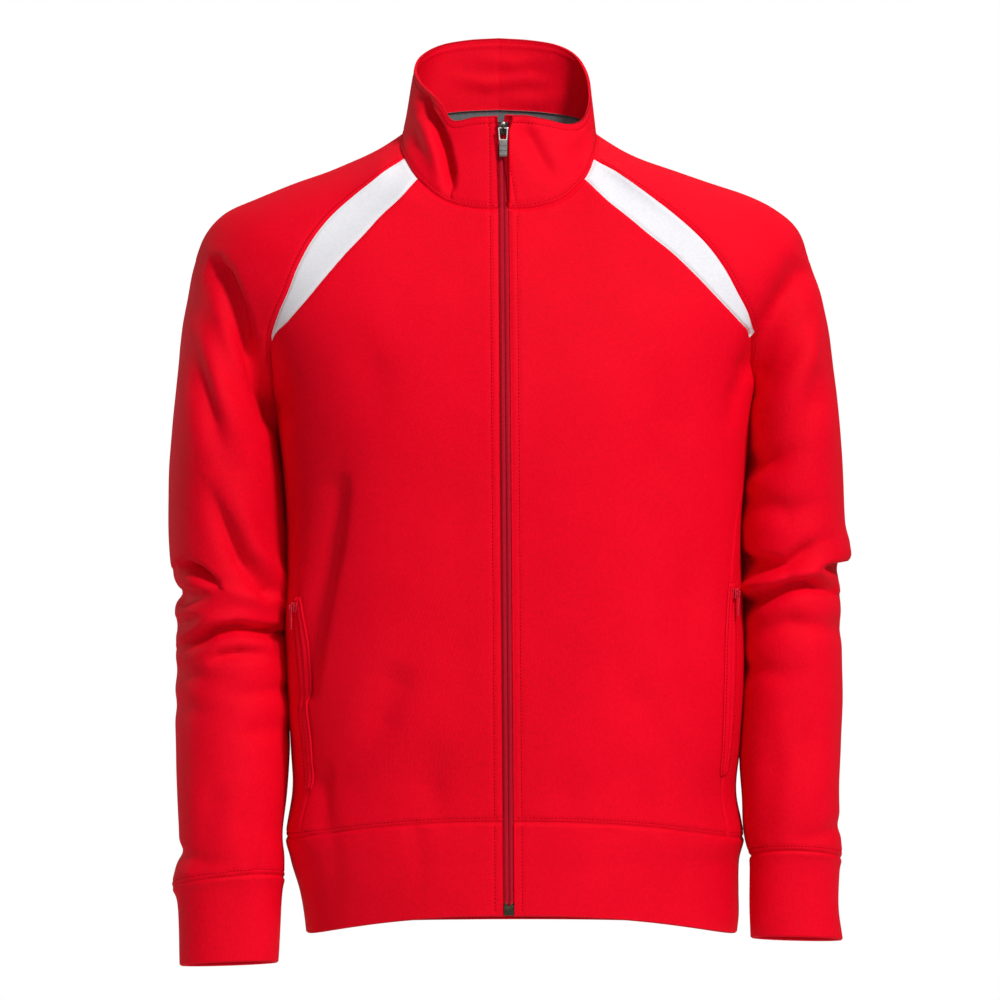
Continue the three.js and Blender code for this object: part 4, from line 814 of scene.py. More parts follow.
# Sewn edges: how deep each rolls in, how far in the topstitching runs and how much it puckers
ROLL = {
    "front": {"left": 0.5, "right": 0.9, "top": 1.1, "bottom": 1.1},
    "back": {"left": 0.9, "right": 0.9, "top": 1.1, "bottom": 1.1},
    "insert": {"left": 0.9, "right": 0.9, "top": 1.0, "bottom": 0.4},
    "sleeve": {"left": 0.9, "right": 0.9, "top": 1.1, "bottom": 1.2},
    "cuff": {"top": 1.2},
    "hem": {"top": 1.1},
    "collar": {"bottom": 1.1},
}
STITCHED = {
    "front": {"left": 7.0, "bottom": 4.0},
    "back": {"bottom": 4.0},
    "sleeve": {"left": 4.5, "bottom": 4.6},
    "hem": {"left": 7.0, "right": 7.0},
    "collar": {"top": 5.5, "left": 7.0, "right": 7.0, "bottom": 5.0},
}
PUCKERED = {
    "front": {"left": 0.22, "bottom": 0.3, "top": 0.25},
    "back": {"bottom": 0.35, "top": 0.25},
    "sleeve": {"bottom": 0.55, "top": 0.2},
    "cuff": {"top": 0.35},
    "hem": {"top": 0.35},
    "collar": {"bottom": 0.25},
}
ROLL_SHARE, ROLL_WIDTH = 1.5, 1.9
GROOVE_DEPTH, GROOVE_WIDTH = 0.6, 1.1
PUCKER_LENGTH, PUCKER_START, PUCKER_REACH = 17, 4, 9


def seam_depth(piece):
    """Edges roll in at the seams, the topstitching pulls in and the cloth puckers there."""
    depth = np.zeros(piece.grid.shape[:2])
    for edge, deep in ROLL[piece.kind].items():
        roll = ROLL_SHARE * deep * np.exp(-(piece.away[edge] / ROLL_WIDTH) ** 2)
        depth = np.maximum(depth, roll)
    for edge, inset in STITCHED.get(piece.kind, {}).items():
        depth += GROOVE_DEPTH * np.exp(-((piece.away[edge] - inset) / GROOVE_WIDTH) ** 2)
    for edge, height in PUCKERED.get(piece.kind, {}).items():
        away = piece.away[edge]
        fade = np.exp(-away / PUCKER_REACH) * np.minimum(away / PUCKER_START, 1)
        depth += unrest(piece.grid, PUCKER_LENGTH, height) * fade
    return depth


def shape_cloth(pieces):
    """Folds and seams, the same on both sides of a seam."""
    grids = [piece.grid for piece in pieces]
    faces = [piece.faces() for piece in pieces]
    shared = [unit(value) for value in by_place(grids, faces)]
    depths = [
        fold_depth(piece.grid, piece.on, raglan_away(piece)) + cloth_unrest(piece)
        + seam_depth(piece) for piece in pieces
    ]
    means = by_place(grids, [np.repeat(depth[..., None], 3, axis=2) for depth in depths])
    counts = by_place(grids, [np.ones_like(grid) for grid in grids])
    for k, piece in enumerate(pieces):
        target = piece.grid - means[k] / counts[k] * shared[k]
        if piece.closed_from is not None:
            target[piece.closed_from:, -1] = target[piece.closed_from:, 0]
        edges = {"top": target[0], "bottom": target[-1],
                 "left": target[:, 0], "right": target[:, -1]}
        moved = piece.grid - depths[k][..., None] * unit(faces[k])
        piece.grid = fit_edges(moved, piece.across, piece.down, edges, SEAM_FADE, SEAM_FADE)
        piece.measure()
        piece.normals = unit(by_place([piece.grid], [piece.faces()])[0])


# Meshes

def make_object(name, verts, faces, material, uv=None):
    mesh = bpy.data.meshes.new(name)
    mesh.from_pydata(verts.tolist(), [], faces)
    if uv is not None:
        layer = mesh.uv_layers.new(name="cloth")
        layer.data.foreach_set("uv", uv.astype(np.float32).ravel())
    obj = bpy.data.objects.new(name, mesh)
    bpy.context.scene.collection.objects.link(obj)
    mesh.materials.append(material)
    mesh.polygons.foreach_set("use_smooth", [True] * len(mesh.polygons))
    return obj


def border_loops(rows, columns, closed_from):
    """The open borders of a grid as rings of places in it. A tube has two."""
    place = np.arange(rows * columns).reshape(rows, columns)
    top, bottom = list(place[0]), list(place[-1])
    if closed_from is None:
        sides = list(place[1:-1, -1]), list(place[1:-1, 0])
        return [top + sides[0] + bottom[::-1] + sides[1][::-1]]
    if closed_from == 0:
        return [top[:-1], bottom[:-1]]
    right, left = list(place[1:closed_from, -1]), list(place[1:closed_from + 1, 0])
    return [top + right + left[::-1], bottom[:-1]]


def shell(piece, wall, material):
    """A thin closed shell of a cloth piece, with its free edges turned round."""
    outer = piece.grid * MM
    rows, columns = outer.shape[:2]
    count = rows * columns
    inner = outer - piece.normals * wall
    over = np.zeros_like(outer)
    over[0] += unit(outer[0] - outer[1]) * ("top" in piece.free)
    over[-1] += unit(outer[-1] - outer[-2]) * ("bottom" in piece.free)
    over[:, 0] += unit(outer[:, 0] - outer[:, 1]) * ("left" in piece.free)
    over[:, -1] += unit(outer[:, -1] - outer[:, -2]) * ("right" in piece.free)
    nose = (outer + inner) / 2 + over * wall / 2
    merged = np.arange(count).reshape(rows, columns)
    if piece.closed_from is not None:
        merged[piece.closed_from:, -1] = merged[piece.closed_from:, 0]
    merged = merged.ravel()
    place = np.arange(count).reshape(rows, columns)
    quads = np.stack([place[:-1, :-1], place[1:, :-1], place[1:, 1:], place[:-1, 1:]], axis=-1)
    quads = quads.reshape(-1, 4)
    corners = [quads, quads[:, ::-1] + count]
    for loop in border_loops(rows, columns, piece.closed_from):
        a = np.array(loop)
        b = np.roll(a, -1)
        corners.append(np.stack([b, a, a + 2 * count, b + 2 * count], axis=-1))
        corners.append(np.stack([b + 2 * count, a + 2 * count, a + count, b + count], axis=-1))
    corners = np.concatenate(corners)
    if piece.facing > 0:
        corners = corners[:, ::-1]
    across = (piece.away["left"] - piece.away["right"]) / 2 * MM
    flat = np.stack([across, -piece.away["top"] * MM], axis=-1).reshape(-1, 2)
    uv = flat[corners.ravel() % count]
    verts = np.concatenate([outer.reshape(-1, 3), inner.reshape(-1, 3), nose.reshape(-1, 3)])
    index = merged[corners % count] + corners // count * count
    used, index = np.unique(index, return_inverse=True)
    return make_object(
        f"{piece.name}_cloth", verts[used], index.reshape(-1, 4).tolist(), material, uv)


def line_in(piece, edge, inset):
    """A line along a piece at a distance in from an edge, with the cloth's normals."""
    away, grid, normals = piece.away[edge], piece.grid, piece.normals
    if edge in ("top", "bottom"):
        away, grid, normals = away.T, grid.swapaxes(0, 1), normals.swapaxes(0, 1)
    if edge in ("right", "bottom"):
        away, grid, normals = away[:, ::-1], grid[:, ::-1], normals[:, ::-1]
    limit = len(grid)
    if edge in ("left", "right") and piece.closed_from:
        limit = piece.closed_from
    path = [[np.interp(inset, away[k], grid[k, :, c]) for c in range(3)] for k in range(limit)]
    ways = [[np.interp(inset, away[k], normals[k, :, c]) for c in range(3)] for k in range(limit)]
    return np.array(path), unit(np.array(ways))


def resample(path, ways, pitch, start=0.0, stop=0.0):
    """Places at a steady pitch along a line, with the way along and the cloth's normal."""
    lengths = run_lengths(path)
    count = max(int((lengths[-1] - start - stop) / pitch), 2)
    at = np.linspace(start, lengths[-1] - stop, count + 1)[:-1] + pitch / 2

    def pick(values, shift=0.0):
        return np.stack([np.interp(at + shift, lengths, values[:, c]) for c in range(3)], -1)

    along = unit(pick(path, pitch / 2) - pick(path, -pitch / 2))
    up = pick(ways)
    up = unit(up - along * np.sum(up * along, axis=1, keepdims=True))
    return pick(path), along, up


def template(make, size):
    """The points and faces of one small shape, made once, for copies along a line."""
    bpy.ops.object.select_all(action="DESELECT")
    make()
    obj = bpy.context.active_object
    verts = np.array([v.co[:] for v in obj.data.vertices]) * size
    faces = [list(p.vertices) for p in obj.data.polygons]
    bpy.data.objects.remove(obj)
    return verts, faces


def copies(name, shape, places, material):
    """Copies of one small shape, joined in one mesh. Places are point, along and up."""
    verts, faces = shape
    at, along, up = (np.concatenate(part) for part in zip(*places))
    side = np.cross(up, along)
    moved = at[:, None] + (
        verts[None, :, 0, None] * side[:, None] + verts[None, :, 1, None] * along[:, None]
        + verts[None, :, 2, None] * up[:, None]
    )
    sets = [[[v + k * len(verts) for v in face] for face in faces] for k in range(len(at))]
    flat = [face for one in sets for face in one]
    return make_object(name, moved.reshape(-1, 3) * MM, flat, material)


# Materials

def nodes_of(name):
    material = bpy.data.materials.new(name)
    material.use_nodes = True
    tree = material.node_tree
    return material, tree, tree.nodes["Principled BSDF"]


def add(tree, kind, **values):
    node = tree.nodes.new(kind)
    for key, value in values.items():
        if key in node.inputs:
            node.inputs[key].default_value = value
        else:
            setattr(node, key, value)
    return node


def math_node(tree, operation, a, b=None):
    node = add(tree, "ShaderNodeMath", operation=operation)
    for k, value in enumerate((a, b)):
        if value is None:
            continue
        if isinstance(value, (int, float)):
            node.inputs[k].default_value = value
        else:
            tree.links.new(value, node.inputs[k])
    return node.outputs[0]


def noise(tree, **values):
    """Unevenness over the object's own places."""
    node = add(tree, "ShaderNodeTexNoise", **values)
    tree.links.new(add(tree, "ShaderNodeTexCoord").outputs["Object"], node.inputs["Vector"])
    return node.outputs[0]


def colour(tree, shader, factor, *stops):
    """Links a ramp of colours to a shader. Each stop is its place and its colour."""
    node = add(tree, "ShaderNodeValToRGB")
    marks = node.color_ramp.elements
    for mark, (place, tint) in zip(marks, (stops[0], stops[-1])):
        mark.position, mark.color = place, (*tint, 1)
    for place, tint in stops[1:-1]:
        marks.new(place).color = (*tint, 1)
    tree.links.new(factor, node.inputs[0])
    tree.links.new(node.outputs[0], shader.inputs["Base Color"])


def relief(tree, shader, height, strength, distance):
    node = add(tree, "ShaderNodeBump", Strength=strength, Distance=distance)
    tree.links.new(height, node.inputs["Height"])
    tree.links.new(node.outputs[0], shader.inputs["Normal"])


def scaled(tree, value, factor):
    return math_node(tree, "MULTIPLY", value, factor)


def added(tree, a, b):
    return math_node(tree, "ADD", a, b)


WAVE = 6283                # radians along a metre of cloth, at one wave for each millimetre


def knit(name, deep, mid, light, roughness, sheen, sheen_tint, wale=1.15, course=0.9, bump=0.32):
    """Smooth knit: fine wales and courses, a mottled colour and a soft sheen."""
    material, tree, shader = nodes_of(name)
    apart = add(tree, "ShaderNodeSeparateXYZ")
    tree.links.new(add(tree, "ShaderNodeUVMap", uv_map="cloth").outputs[0], apart.inputs[0])
    wales = math_node(tree, "SINE", scaled(tree, apart.outputs[0], WAVE / wale))
    rows = scaled(tree, apart.outputs[1], WAVE / course)
    loops = math_node(tree, "SINE", added(tree, rows, scaled(tree, wales, 0.9)))
    weave = added(tree, wales, scaled(tree, loops, 0.45))
    broad = noise(tree, Scale=7.0, Detail=3.0, Roughness=0.55)
    fine = noise(tree, Scale=420.0, Detail=2.0, Roughness=0.6)
    mixed = added(tree, scaled(tree, broad, 0.55), scaled(tree, fine, 0.45))
    colour(tree, shader, mixed, (0.3, deep), (0.5, mid), (0.7, light))
    relief(tree, shader, added(tree, weave, scaled(tree, fine, 0.8)), bump, 0.00022)
    rough = added(tree, scaled(tree, fine, 0.12), roughness)
    tree.links.new(rough, shader.inputs["Roughness"])
    shader.inputs["Specular IOR Level"].default_value = 0.06
    shader.inputs["Sheen Weight"].default_value = sheen
    shader.inputs["Sheen Roughness"].default_value = 0.45
    shader.inputs["Sheen Tint"].default_value = (*sheen_tint, 1)
    return material


def solid_look(name, dark, light, roughness, metallic=0.0, bump=0.1, shine=0.5):
    """Metal, rubber or plastic with fine unevenness of colour and surface."""
    material, tree, shader = nodes_of(name)
    grain = noise(tree, Scale=900.0, Detail=3.0)
    colour(tree, shader, grain, (0.35, dark), (0.65, light))
    relief(tree, shader, grain, bump, 0.0001)
    rough = added(tree, scaled(tree, grain, 0.15), roughness)
    tree.links.new(rough, shader.inputs["Roughness"])
    shader.inputs["Metallic"].default_value = metallic
    shader.inputs["Specular IOR Level"].default_value = shine
    return material


RED_KNIT = knit("red_knit", (0.66, 0.0, 0.010), (0.77, 0.0, 0.013), (0.84, 0.001, 0.016),
                0.6, 0.02, (1.0, 0.1, 0.15))
WHITE_KNIT = knit("white_knit", (0.66, 0.65, 0.68), (0.72, 0.71, 0.74), (0.77, 0.76, 0.79),
                  0.62, 0.08, (1, 1, 1))
GREY_TAPE = knit("grey_tape", (0.10, 0.11, 0.115), (0.13, 0.145, 0.15), (0.17, 0.18, 0.19),
                 0.75, 0.05, (1, 1, 1), wale=1.6, course=0.8, bump=0.6)
ZIP_TAPE = knit("zip_tape", (0.40, 0.003, 0.016), (0.46, 0.005, 0.02), (0.52, 0.008, 0.025),
                0.7, 0.05, (1, 0.4, 0.4), wale=1.2, course=0.6, bump=0.6)
COIL = solid_look("zip_coil", (0.34, 0.003, 0.016), (0.44, 0.008, 0.026), 0.32)
# Thread much darker than the cloth: partly the thread's own deeper red, partly painted shade for
# the shade in the topstitch grooves.
THREAD_WITH_GROOVE_SHADE = solid_look("red_thread_with_painted_groove_shade", (0.30, 0.0, 0.003), (0.40, 0.0, 0.005), 0.8, shine=0.05)
DARK_METAL = solid_look("dark_metal", (0.025, 0.02, 0.018), (0.05, 0.042, 0.036), 0.22, 0.9)
BRIGHT_METAL = solid_look("bright_metal", (0.50, 0.46, 0.43), (0.66, 0.62, 0.58), 0.2, 1.0)
RUBBER = solid_look("pull_rubber", (0.15, 0.14, 0.135), (0.21, 0.20, 0.19), 0.42, bump=0.3)
BRONZE = solid_look("dark_bronze", (0.035, 0.032, 0.02), (0.07, 0.062, 0.04), 0.28, 0.85)
RED_PULL = solid_look("red_pull", (0.50, 0.003, 0.02), (0.62, 0.008, 0.03), 0.3)


# The cloth pieces

def build_cloth():
    made = []
    for side in SIGN:
        for kind, (grid, down), across, on, *rest in (
            ("front", front_grid(side), FRONT_U, "body", ("left",)),
            ("insert", insert_grid(side), INSERT_U, "insert"),
            ("sleeve", sleeve_grid(side), SLEEVE_U, "arm", (), RAGLAN_LAST),
            ("cuff", (cuff_grid(side), CUFF_V), SLEEVE_U, "cuff", ("bottom",), 0),
        ):
            made.append(Piece(f"{kind}_{side}", grid, across, down, -SIGN[side], on, *rest))
    grid, across, down = back_grid()
    made.append(Piece("back", grid, across, down, 1, "body"))
    for name, strip, down, on, free in (
        ("hem_band", hem_strip, HEM_V, "band", "bottom"),
        ("collar", collar_strip, COLLAR_V, "collar", "top"),
    ):
        grid = around_loop(strip)
        across = np.linspace(0, 1, grid.shape[1])
        made.append(Piece(name, grid, across, down, 1, on, (free, "left", "right")))
    return made


def as_cloth(piece, wall, material, node):
    """Makes a piece's shell and says what it stands for and how it was cut."""
    obj = shell(piece, wall, material)
    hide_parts(node)
    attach(obj, "jacket")
    print("sheet", piece.name, [round(v, 3) for v in piece.flat], round(piece.area, 5))


pieces = build_cloth()
shape_cloth(pieces)
named = {piece.name: piece for piece in pieces}
for piece in pieces:
    wall = BAND_CLOTH if piece.kind in ("collar", "hem", "cuff") else CLOTH
    look, slot_name = RED_KNIT, "red_knit"
    if piece.kind == "insert":
        look, slot_name = WHITE_KNIT, "white_knit"
    as_cloth(piece, wall, look, piece.name)


# Sheets that lie on or behind the others

def lay_down(piece, wall, material, lift=0.0):
    """Gives a laid piece the same folds as the cloth under it, and makes its shell."""
    away = np.full(piece.grid.shape[:2], FAR)
    depth = fold_depth(piece.grid, piece.on, away) + cloth_unrest(piece)
    piece.grid = piece.grid - (depth - lift)[..., None] * unit(piece.faces())
    piece.measure()
    piece.normals = unit(piece.faces())
    as_cloth(piece, wall, material, piece.name)
    return piece


def even(values):
    return (values - values[0]) / (values[-1] - values[0])


TAPE_FROM, TAPE_RISE, TAPE_DROP, TAPE_IN = 5.5, 0.09, 19.0, 3.1
TAPE_ROWS = np.array([(1, 0), (0.5, 0), (0, 0), (0, 0.33), (0, 0.66), (0, 1)])
ALONG = 0.05               # step along the neck seam that gives its direction


def neck_tape_strip(side):
    t = np.linspace(TAPE_FROM, MIDDLE_MARK, 70)[None].repeat(len(TAPE_ROWS), axis=0)
    rise, drop = TAPE_RISE * TAPE_ROWS[:, :1], TAPE_DROP * TAPE_ROWS[:, 1:]
    made = neck(side, t, rise)
    along = neck(side, t + ALONG, rise) - neck(side, t - ALONG, rise)
    inside = unit(points(along[..., 1], -along[..., 0], 0))
    made = made - SIGN[side] * TAPE_IN * inside
    made[..., 2] -= drop
    return made


tape_grid = around_loop(neck_tape_strip)
lay_down(
    Piece("neck_tape", tape_grid, np.linspace(0, 1, tape_grid.shape[1]),
          np.linspace(0, 1, len(TAPE_ROWS)), 1, "collar", ("top", "bottom")),
    TAPE_CLOTH, GREY_TAPE,
)

# A pocket welt: two lips across the side seam with the zip's slot between them. Each place
# is its distance from the seam and its height over the cloth.
WELT_OUT, WELT_UP = np.array([
    (-8.6, 0.4), (-8.3, 1.4), (-7.6, 2.1), (-6.2, 1.6), (-4.6, 2.4), (-3.2, 2.8), (-2.4, 2.8),
    (-1.9, 2.3), (-1.5, 1.3), (-1.1, 0.3), (-0.5, 0), (0, 0), (0.5, 0), (1.1, 0.3), (1.5, 1.2),
    (1.9, 2.1), (2.4, 2.5), (3.2, 2.6), (4.6, 2.3), (6.2, 1.6), (7.6, 2.0), (8.3, 1.4),
    (8.6, 0.4),
]).T
WELT_LENGTH, WELT_STEP = 165, 2.5
WELT_V = spaced(WELT_LENGTH, WELT_STEP)
WELT_LIFT = 0.35           # height over the cloth, and share of its form, at a welt's ends
WELT_NARROW = 0.55         # share of its width that a welt has at its ends


def welt_piece(side):
    z = lerp(*POCKETS[side], WELT_V)
    middle = curve(SIDE_SEAM, "z", z, "angle")
    one = np.linalg.norm(
        torso_around(side, middle + 1, z) - torso_around(side, middle - 1, z), axis=-1) / 2
    lens = lerp(WELT_NARROW, 1, np.sin(np.pi * even(z)) ** 0.6)
    around = middle[:, None] + WELT_OUT[None] * (lens / one)[:, None]
    grid = torso_around(side, around, z[:, None].repeat(len(WELT_OUT), axis=1))
    return Piece(f"pocket_welt_{side}", grid, even(WELT_OUT), even(z), -SIGN[side], "body",
                 ("top", "bottom"))


from_end = np.minimum(WELT_V, 1 - WELT_V) * WELT_LENGTH / WELT_STEP
welt_lift = WELT_LIFT + WELT_UP[None] * lerp(WELT_LIFT, 1, np.minimum(1, from_end)[:, None])
welts = [
    lay_down(welt_piece(side), WELT_CLOTH, RED_KNIT, lift=welt_lift)
    for side in SIGN
]

# The zip's tape, seen from its smooth side, with the coil behind it
HALF_TAPE = np.array([(6.6, 2.5), (5.2, 2.4), (4.5, 2.0), (3.9, 1.2), (3.3, 0.4), (2.6, -0.1),
                      (1.9, -0.2), (1.2, 0.0), (0.6, 0.5), (0.2, 1.2)])
TAPE_X, TAPE_Y = np.concatenate([HALF_TAPE * (-1, 1), [(0, 1.5)], HALF_TAPE[::-1]]).T
tape_z = np.linspace(SLIDER_Z + 3, ZIP_BOX_TOP - 1, 230)
zip_grid = points(
    zip_x(tape_z)[:, None] + TAPE_X[None], front_y(tape_z)[:, None] + TAPE_Y[None],
    tape_z[:, None],
)
zip_tape = Piece("zip_tape", zip_grid, even(TAPE_X), even(tape_z), -1, "zip", ("top",))
zip_tape.normals = unit(zip_tape.faces())
as_cloth(zip_tape, ZIP_TAPE_CLOTH, ZIP_TAPE, "zip_chain")


# Stitches and coil, each shape made once and copied along its lines

def small_ball():
    bpy.ops.mesh.primitive_uv_sphere_add(segments=6, ring_count=4, radius=0.5)


STITCH = template(small_ball, (0.8, 2.5, 0.55))
COIL_TURN = template(small_ball, (3.4, 1.25, 1.3))
STITCH_PITCH, COIL_PITCH = 3.1, 1.6
COIL_OUT, COIL_IN = 1.55, 2.3                  # the zip's two rows of coil, behind its tape

stitch_places = []
for name in ("front_right", "front_left", "back", "hem_band", "sleeve_right", "sleeve_left",
             "collar"):
    for edge, inset in STITCHED[named[name].kind].items():
        path, ways = line_in(named[name], edge, inset)
        trim = 6.0 if edge in ("left", "right") and name != "hem_band" else 3.0
        at, along, up = resample(path, ways, STITCH_PITCH, trim, trim)
        stitch_places.append((at + up * 0.02, along, up))
coil_places = []
for shift, x in ((0.0, -COIL_OUT), (0.8, COIL_OUT)):
    z = tape_z[::-1]
    path, ways = points(zip_x(z) + x, front_y(z) + COIL_IN, z), points(0 * z, 1, 0)
    coil_places.append(resample(path, ways, COIL_PITCH, shift + 1, 1))
for welt in welts:
    columns = welt.grid.shape[1]
    for places, column, *steps in (
        (stitch_places, 2, STITCH_PITCH, 3, 3), (stitch_places, columns - 3, STITCH_PITCH, 3, 3),
        (coil_places, columns // 2, COIL_PITCH, 9, 5),
    ):
        places.append(resample(welt.grid[:, column], welt.normals[:, column], *steps))
for name, shape, places, look, slot_name in (
    ("topstitching", STITCH, stitch_places, THREAD_WITH_GROOVE_SHADE, "red_knit"),
    ("zip_coil", COIL_TURN, coil_places, COIL, "zip_coil"),
):
    made = copies(name, shape, places, look)
    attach(made, "jacket")


# Sliders, pulls and the box, modelled round their hinge and then put in place

def edit(obj):
    bpy.ops.object.select_all(action="DESELECT")
    bpy.context.view_layer.objects.active = obj
    obj.select_set(True)
    bpy.ops.object.mode_set(mode="EDIT")
    bpy.ops.mesh.select_all(action="DESELECT")
    bpy.ops.mesh.select_mode(type="FACE")
    return bmesh.from_edit_mesh(obj.data)


def pick_faces(work, test):
    for face in work.faces:
        face.select_set(bool(test(face)))
    work.select_flush_mode()


def block(name, size, narrow):
    """A block with its lower end narrowed."""
    bpy.ops.object.select_all(action="DESELECT")
    bpy.ops.mesh.primitive_cube_add(size=1, location=(0, 0, 0))
    obj = bpy.context.active_object
    obj.name = name
    obj.data.transform(Matrix.Diagonal((*(v * MM for v in size), 1)))
    if narrow != 1.0:
        work = edit(obj)
        pick_faces(work, lambda face: face.normal.z < -0.5)
        bpy.ops.transform.resize(value=(narrow, 1, 1))
        bpy.ops.object.mode_set(mode="OBJECT")
    return obj


def placed(obj, place, material):
    obj.data.transform(Matrix.Translation([v * MM for v in place]))
    obj.data.materials.append(material)
    bpy.ops.object.shade_smooth_by_angle(angle=math.radians(40))
    return obj


def bar(name, size, place, material, rounding=0.4, narrow=1.0):
    """A rounded block in millimetres, its lower end narrowed."""
    obj = block(name, size, narrow)
    edit(obj)
    bpy.ops.mesh.select_all(action="SELECT")
    bpy.ops.mesh.bevel(offset=rounding * MM, segments=3, affect="EDGES")
    bpy.ops.object.mode_set(mode="OBJECT")
    return placed(obj, place, material)


def window(name, size, wall, place, material, axis="Y", rounding=0.3, narrow=1.0):
    """A flat frame round an opening that runs along one axis."""
    obj = block(name, size, narrow)
    k = "XYZ".index(axis)
    work = edit(obj)
    pick_faces(work, lambda face: abs(face.normal[k]) > 0.9)
    bpy.ops.mesh.inset(thickness=wall * MM, depth=0)
    bpy.ops.mesh.bridge_edge_loops()
    bpy.ops.mesh.select_all(action="SELECT")
    bpy.ops.mesh.normals_make_consistent(inside=False)
    bpy.ops.mesh.bevel(offset=rounding * MM, segments=2, affect="EDGES")
    bpy.ops.object.mode_set(mode="OBJECT")
    return placed(obj, place, material)


def knob(name, size, place, material):
    bpy.ops.object.select_all(action="DESELECT")
    bpy.ops.mesh.primitive_uv_sphere_add(segments=20, ring_count=12, radius=0.5)
    obj = bpy.context.active_object
    obj.name = name
    obj.data.transform(Matrix.Diagonal((*(v * MM for v in size), 1)))
    obj.data.transform(Matrix.Translation([v * MM for v in place]))
    obj.data.materials.append(material)
    bpy.ops.object.shade_smooth()
    return obj


def put(parts, hinge, scale, slot_name, body, *nodes):
    """Puts parts made round a hinge in their place on the jacket."""
    place, across = hinge
    x = Vector(across).normalized()
    z = Vector((0, 0, 1))
    y = z.cross(x)
    turn = Matrix((x, y, z)).transposed().to_4x4()
    move = Matrix.Translation([v * MM for v in place]) @ turn @ Matrix.Scale(scale, 4)
    for k, obj in enumerate(parts):
        obj.data.transform(move)
        if k == 0:
            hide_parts(*nodes)
        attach(obj, body)


HINGES = {
    "zip": ((-4.309, -88.162, 7.5), (1, 0, 0)),
    "right": ((-186.354, -62.275, -401.016), (0.465546, -0.885024, 0)),
    "left": ((197.392, -61.558, -389.0), (0.44834, 0.893863, 0)),
}
SLIDER_BACK = 3.6          # middle of the slider's body behind the hinge


def slider_parts(tag, body_look, trim_look):
    return [
        bar(f"{tag}_slider_plate", (8.8, 1.2, 10.8), (0, SLIDER_BACK - 1.3, 0), body_look,
            0.45, narrow=0.74),
        bar(f"{tag}_slider_back", (8.4, 1.2, 10.4), (0, SLIDER_BACK + 1.4, 0), body_look,
            0.45, narrow=0.74),
        bar(f"{tag}_slider_post", (2.2, 2.6, 5.0), (0, SLIDER_BACK, 2.2), body_look, 0.3),
        window(f"{tag}_slider_bail", (2.0, 3.9, 4.8), 1.0, (0, SLIDER_BACK - 3.6, 0), body_look,
               axis="X", rounding=0.35),
        knob(f"{tag}_slider_knob", (4.4, 2.6, 3.4), (0, SLIDER_BACK - 2.4, 3.9), trim_look),
    ]


zip_parts = slider_parts("front", DARK_METAL, BRIGHT_METAL)
put(zip_parts, HINGES["zip"], 1.0, "dark_metal", "jacket", "zip_slider")

pull_frame = window("front_pull_frame", (9.0, 1.3, 11.4), 1.35, (0, 0, -5.0), BRIGHT_METAL,
                    rounding=0.4, narrow=0.82)
pull_tab = bar("front_pull_tab", (7.2, 1.9, 14.2), (0, 0, -17.2), RUBBER, 0.85, narrow=0.94)
ribs = [
    bar(f"front_pull_rib_{k}", (6.4, 3.0, tall), (0, 0, z), RUBBER, 0.5)
    for k, (z, tall) in enumerate(((-13.8, 3.2), (-18.4, 1.9), (-22.2, 2.4)))
]
put([pull_frame, pull_tab, *ribs], HINGES["zip"], 1.0, "pull_rubber", "front_pull", "zip_pull")

for side in ("right", "left"):
    parts = slider_parts(f"pocket_{side}", RED_PULL, RED_PULL)
    put(parts, HINGES[side], 0.8, "dark_metal", "jacket", f"pocket_slider_{side}")
    ring = window(f"pocket_pull_ring_{side}", (5.6, 1.1, 12.0), 1.1, (0, 0, -5.45), RED_PULL,
                  rounding=0.35, narrow=0.8)
    tab = bar(f"pocket_pull_tab_{side}", (4.8, 1.6, 13.0), (0, 0, -17.5), RED_PULL, 0.6)
    put([ring, tab], HINGES[side], 0.8, "red_pull", f"{side}_pocket_pull", f"pocket_pull_{side}")

box_middle = ZIP_BOX_TOP - ZIP_BOX_HEIGHT / 2
box_place = (float(zip_x(box_middle)), float(front_y(box_middle)) + 0.7, box_middle)
box_parts = [
    bar("zip_box_body", (8.8, 3.2, 8.0), (0, 0, -1.4), BRONZE, 0.5),
    bar("zip_box_pin", (3.0, 2.6, 10.6), (-2.4, 0, 0), BRONZE, 0.5),
    bar("zip_box_guide", (2.6, 2.4, 10.2), (2.5, 0, 0), BRONZE, 0.5),
    bar("zip_box_ridge", (7.4, 3.5, 0.9), (0, 0, -3.2), BRONZE, 0.3),
]
put(box_parts, (box_place, (1, 0, 0)), 1.0, "dark_metal", "jacket", "zip_box")


# Camera, light and floor

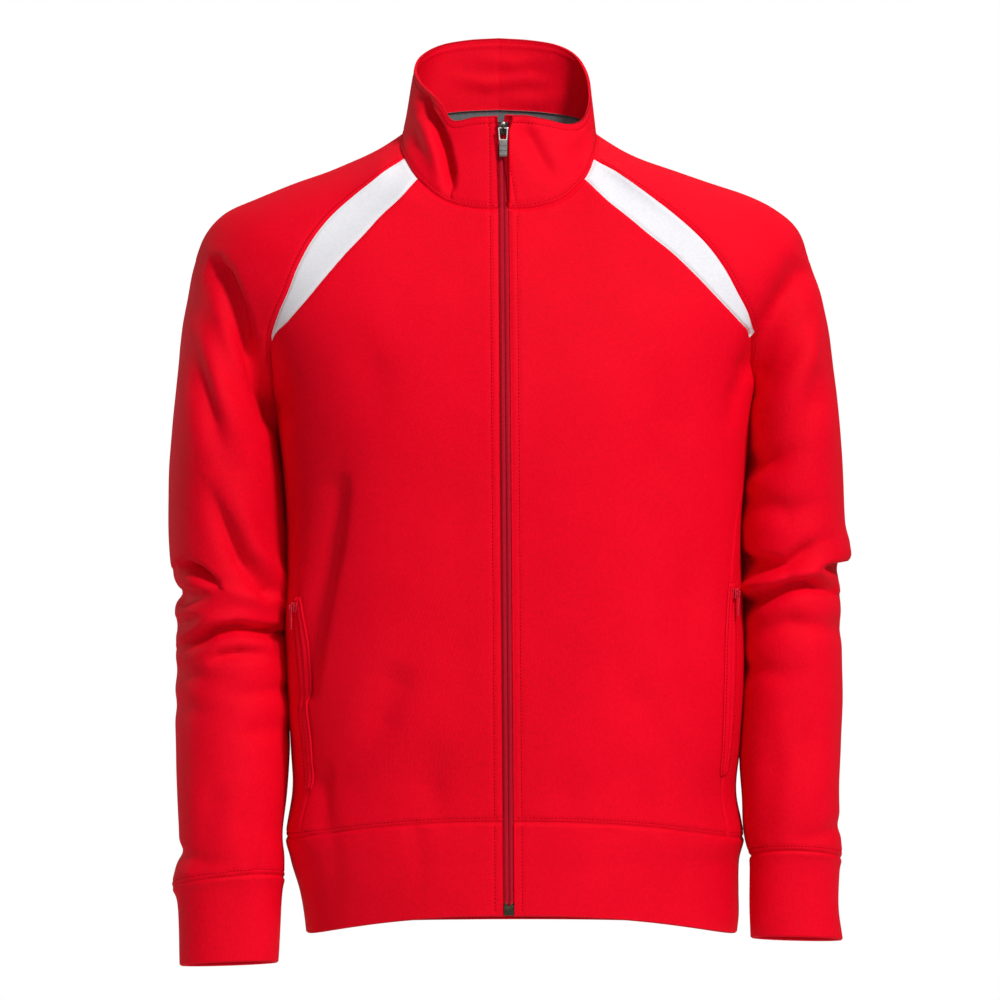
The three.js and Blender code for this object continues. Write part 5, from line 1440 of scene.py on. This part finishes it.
def area_light(name, place, aim, size, power):
    data = bpy.data.lights.new(name, "AREA")
    data.shape, data.size, data.energy = "SQUARE", size, power
    light = bpy.data.objects.new(name, data)
    bpy.context.scene.collection.objects.link(light)
    light.location = place
    light.rotation_euler = (Vector(aim) - Vector(place)).to_track_quat("-Z", "Y").to_euler()


def floor_look():
    material, tree, shader = nodes_of("studio_floor")
    grain = noise(tree, Scale=3.0, Detail=2.0)
    colour(tree, shader, grain, (0, (0.80, 0.80, 0.80)), (1, (0.84, 0.84, 0.84)))
    shader.inputs["Roughness"].default_value = 0.9
    return material


FLOOR_Z = -0.98
corners = [(x, y, FLOOR_Z) for x, y in ((-1.6, -1.2), (1.6, -1.2), (1.6, 1.4), (-1.6, 1.4))]
floor = make_object("studio_floor", np.array(corners), [[0, 1, 2, 3]], floor_look())

camera_data = bpy.data.cameras.new("camera")
camera_data.sensor_width = 36
camera_data.lens = 165.5
camera = bpy.data.objects.new("camera", camera_data)
bpy.context.scene.collection.objects.link(camera)
camera.location = (-0.007, -4.0, -0.309)
camera.rotation_euler = (math.radians(90), 0, 0)
bpy.context.scene.camera = camera

# The camera sees a white studio, which lights the jacket less than it shows
world = bpy.data.worlds.new("studio")
bpy.context.scene.world = world
world.use_nodes = True
tree = world.node_tree
seen = tree.nodes["Background"]
seen.inputs["Color"].default_value = (1, 1, 1, 1)
seen.inputs["Strength"].default_value = 1.0
soft = add(tree, "ShaderNodeBackground", Color=(1, 1, 1, 1), Strength=0.24)
path = add(tree, "ShaderNodeLightPath")
either = add(tree, "ShaderNodeMixShader")
for source, target in (
    (path.outputs["Is Camera Ray"], either.inputs[0]),
    (soft.outputs[0], either.inputs[1]), (seen.outputs[0], either.inputs[2]),
    (either.outputs[0], tree.nodes["World Output"].inputs["Surface"]),
):
    tree.links.new(source, target)

area_light("key", (1.6, -2.6, 2.2), (0, 0, -0.3), 0.6, 138)
area_light("fill", (-0.4, -3.7, 0.3), (0, 0, -0.35), 1.2, 16)
area_light("rim", (-2.6, 1.6, 0.3), (-0.2, 0, -0.35), 1.4, 16)
area_light("top", (0.3, 0.6, 2.2), (0, 0, -0.2), 1.5, 14)
bpy.context.scene.view_settings.view_transform = "Standard"
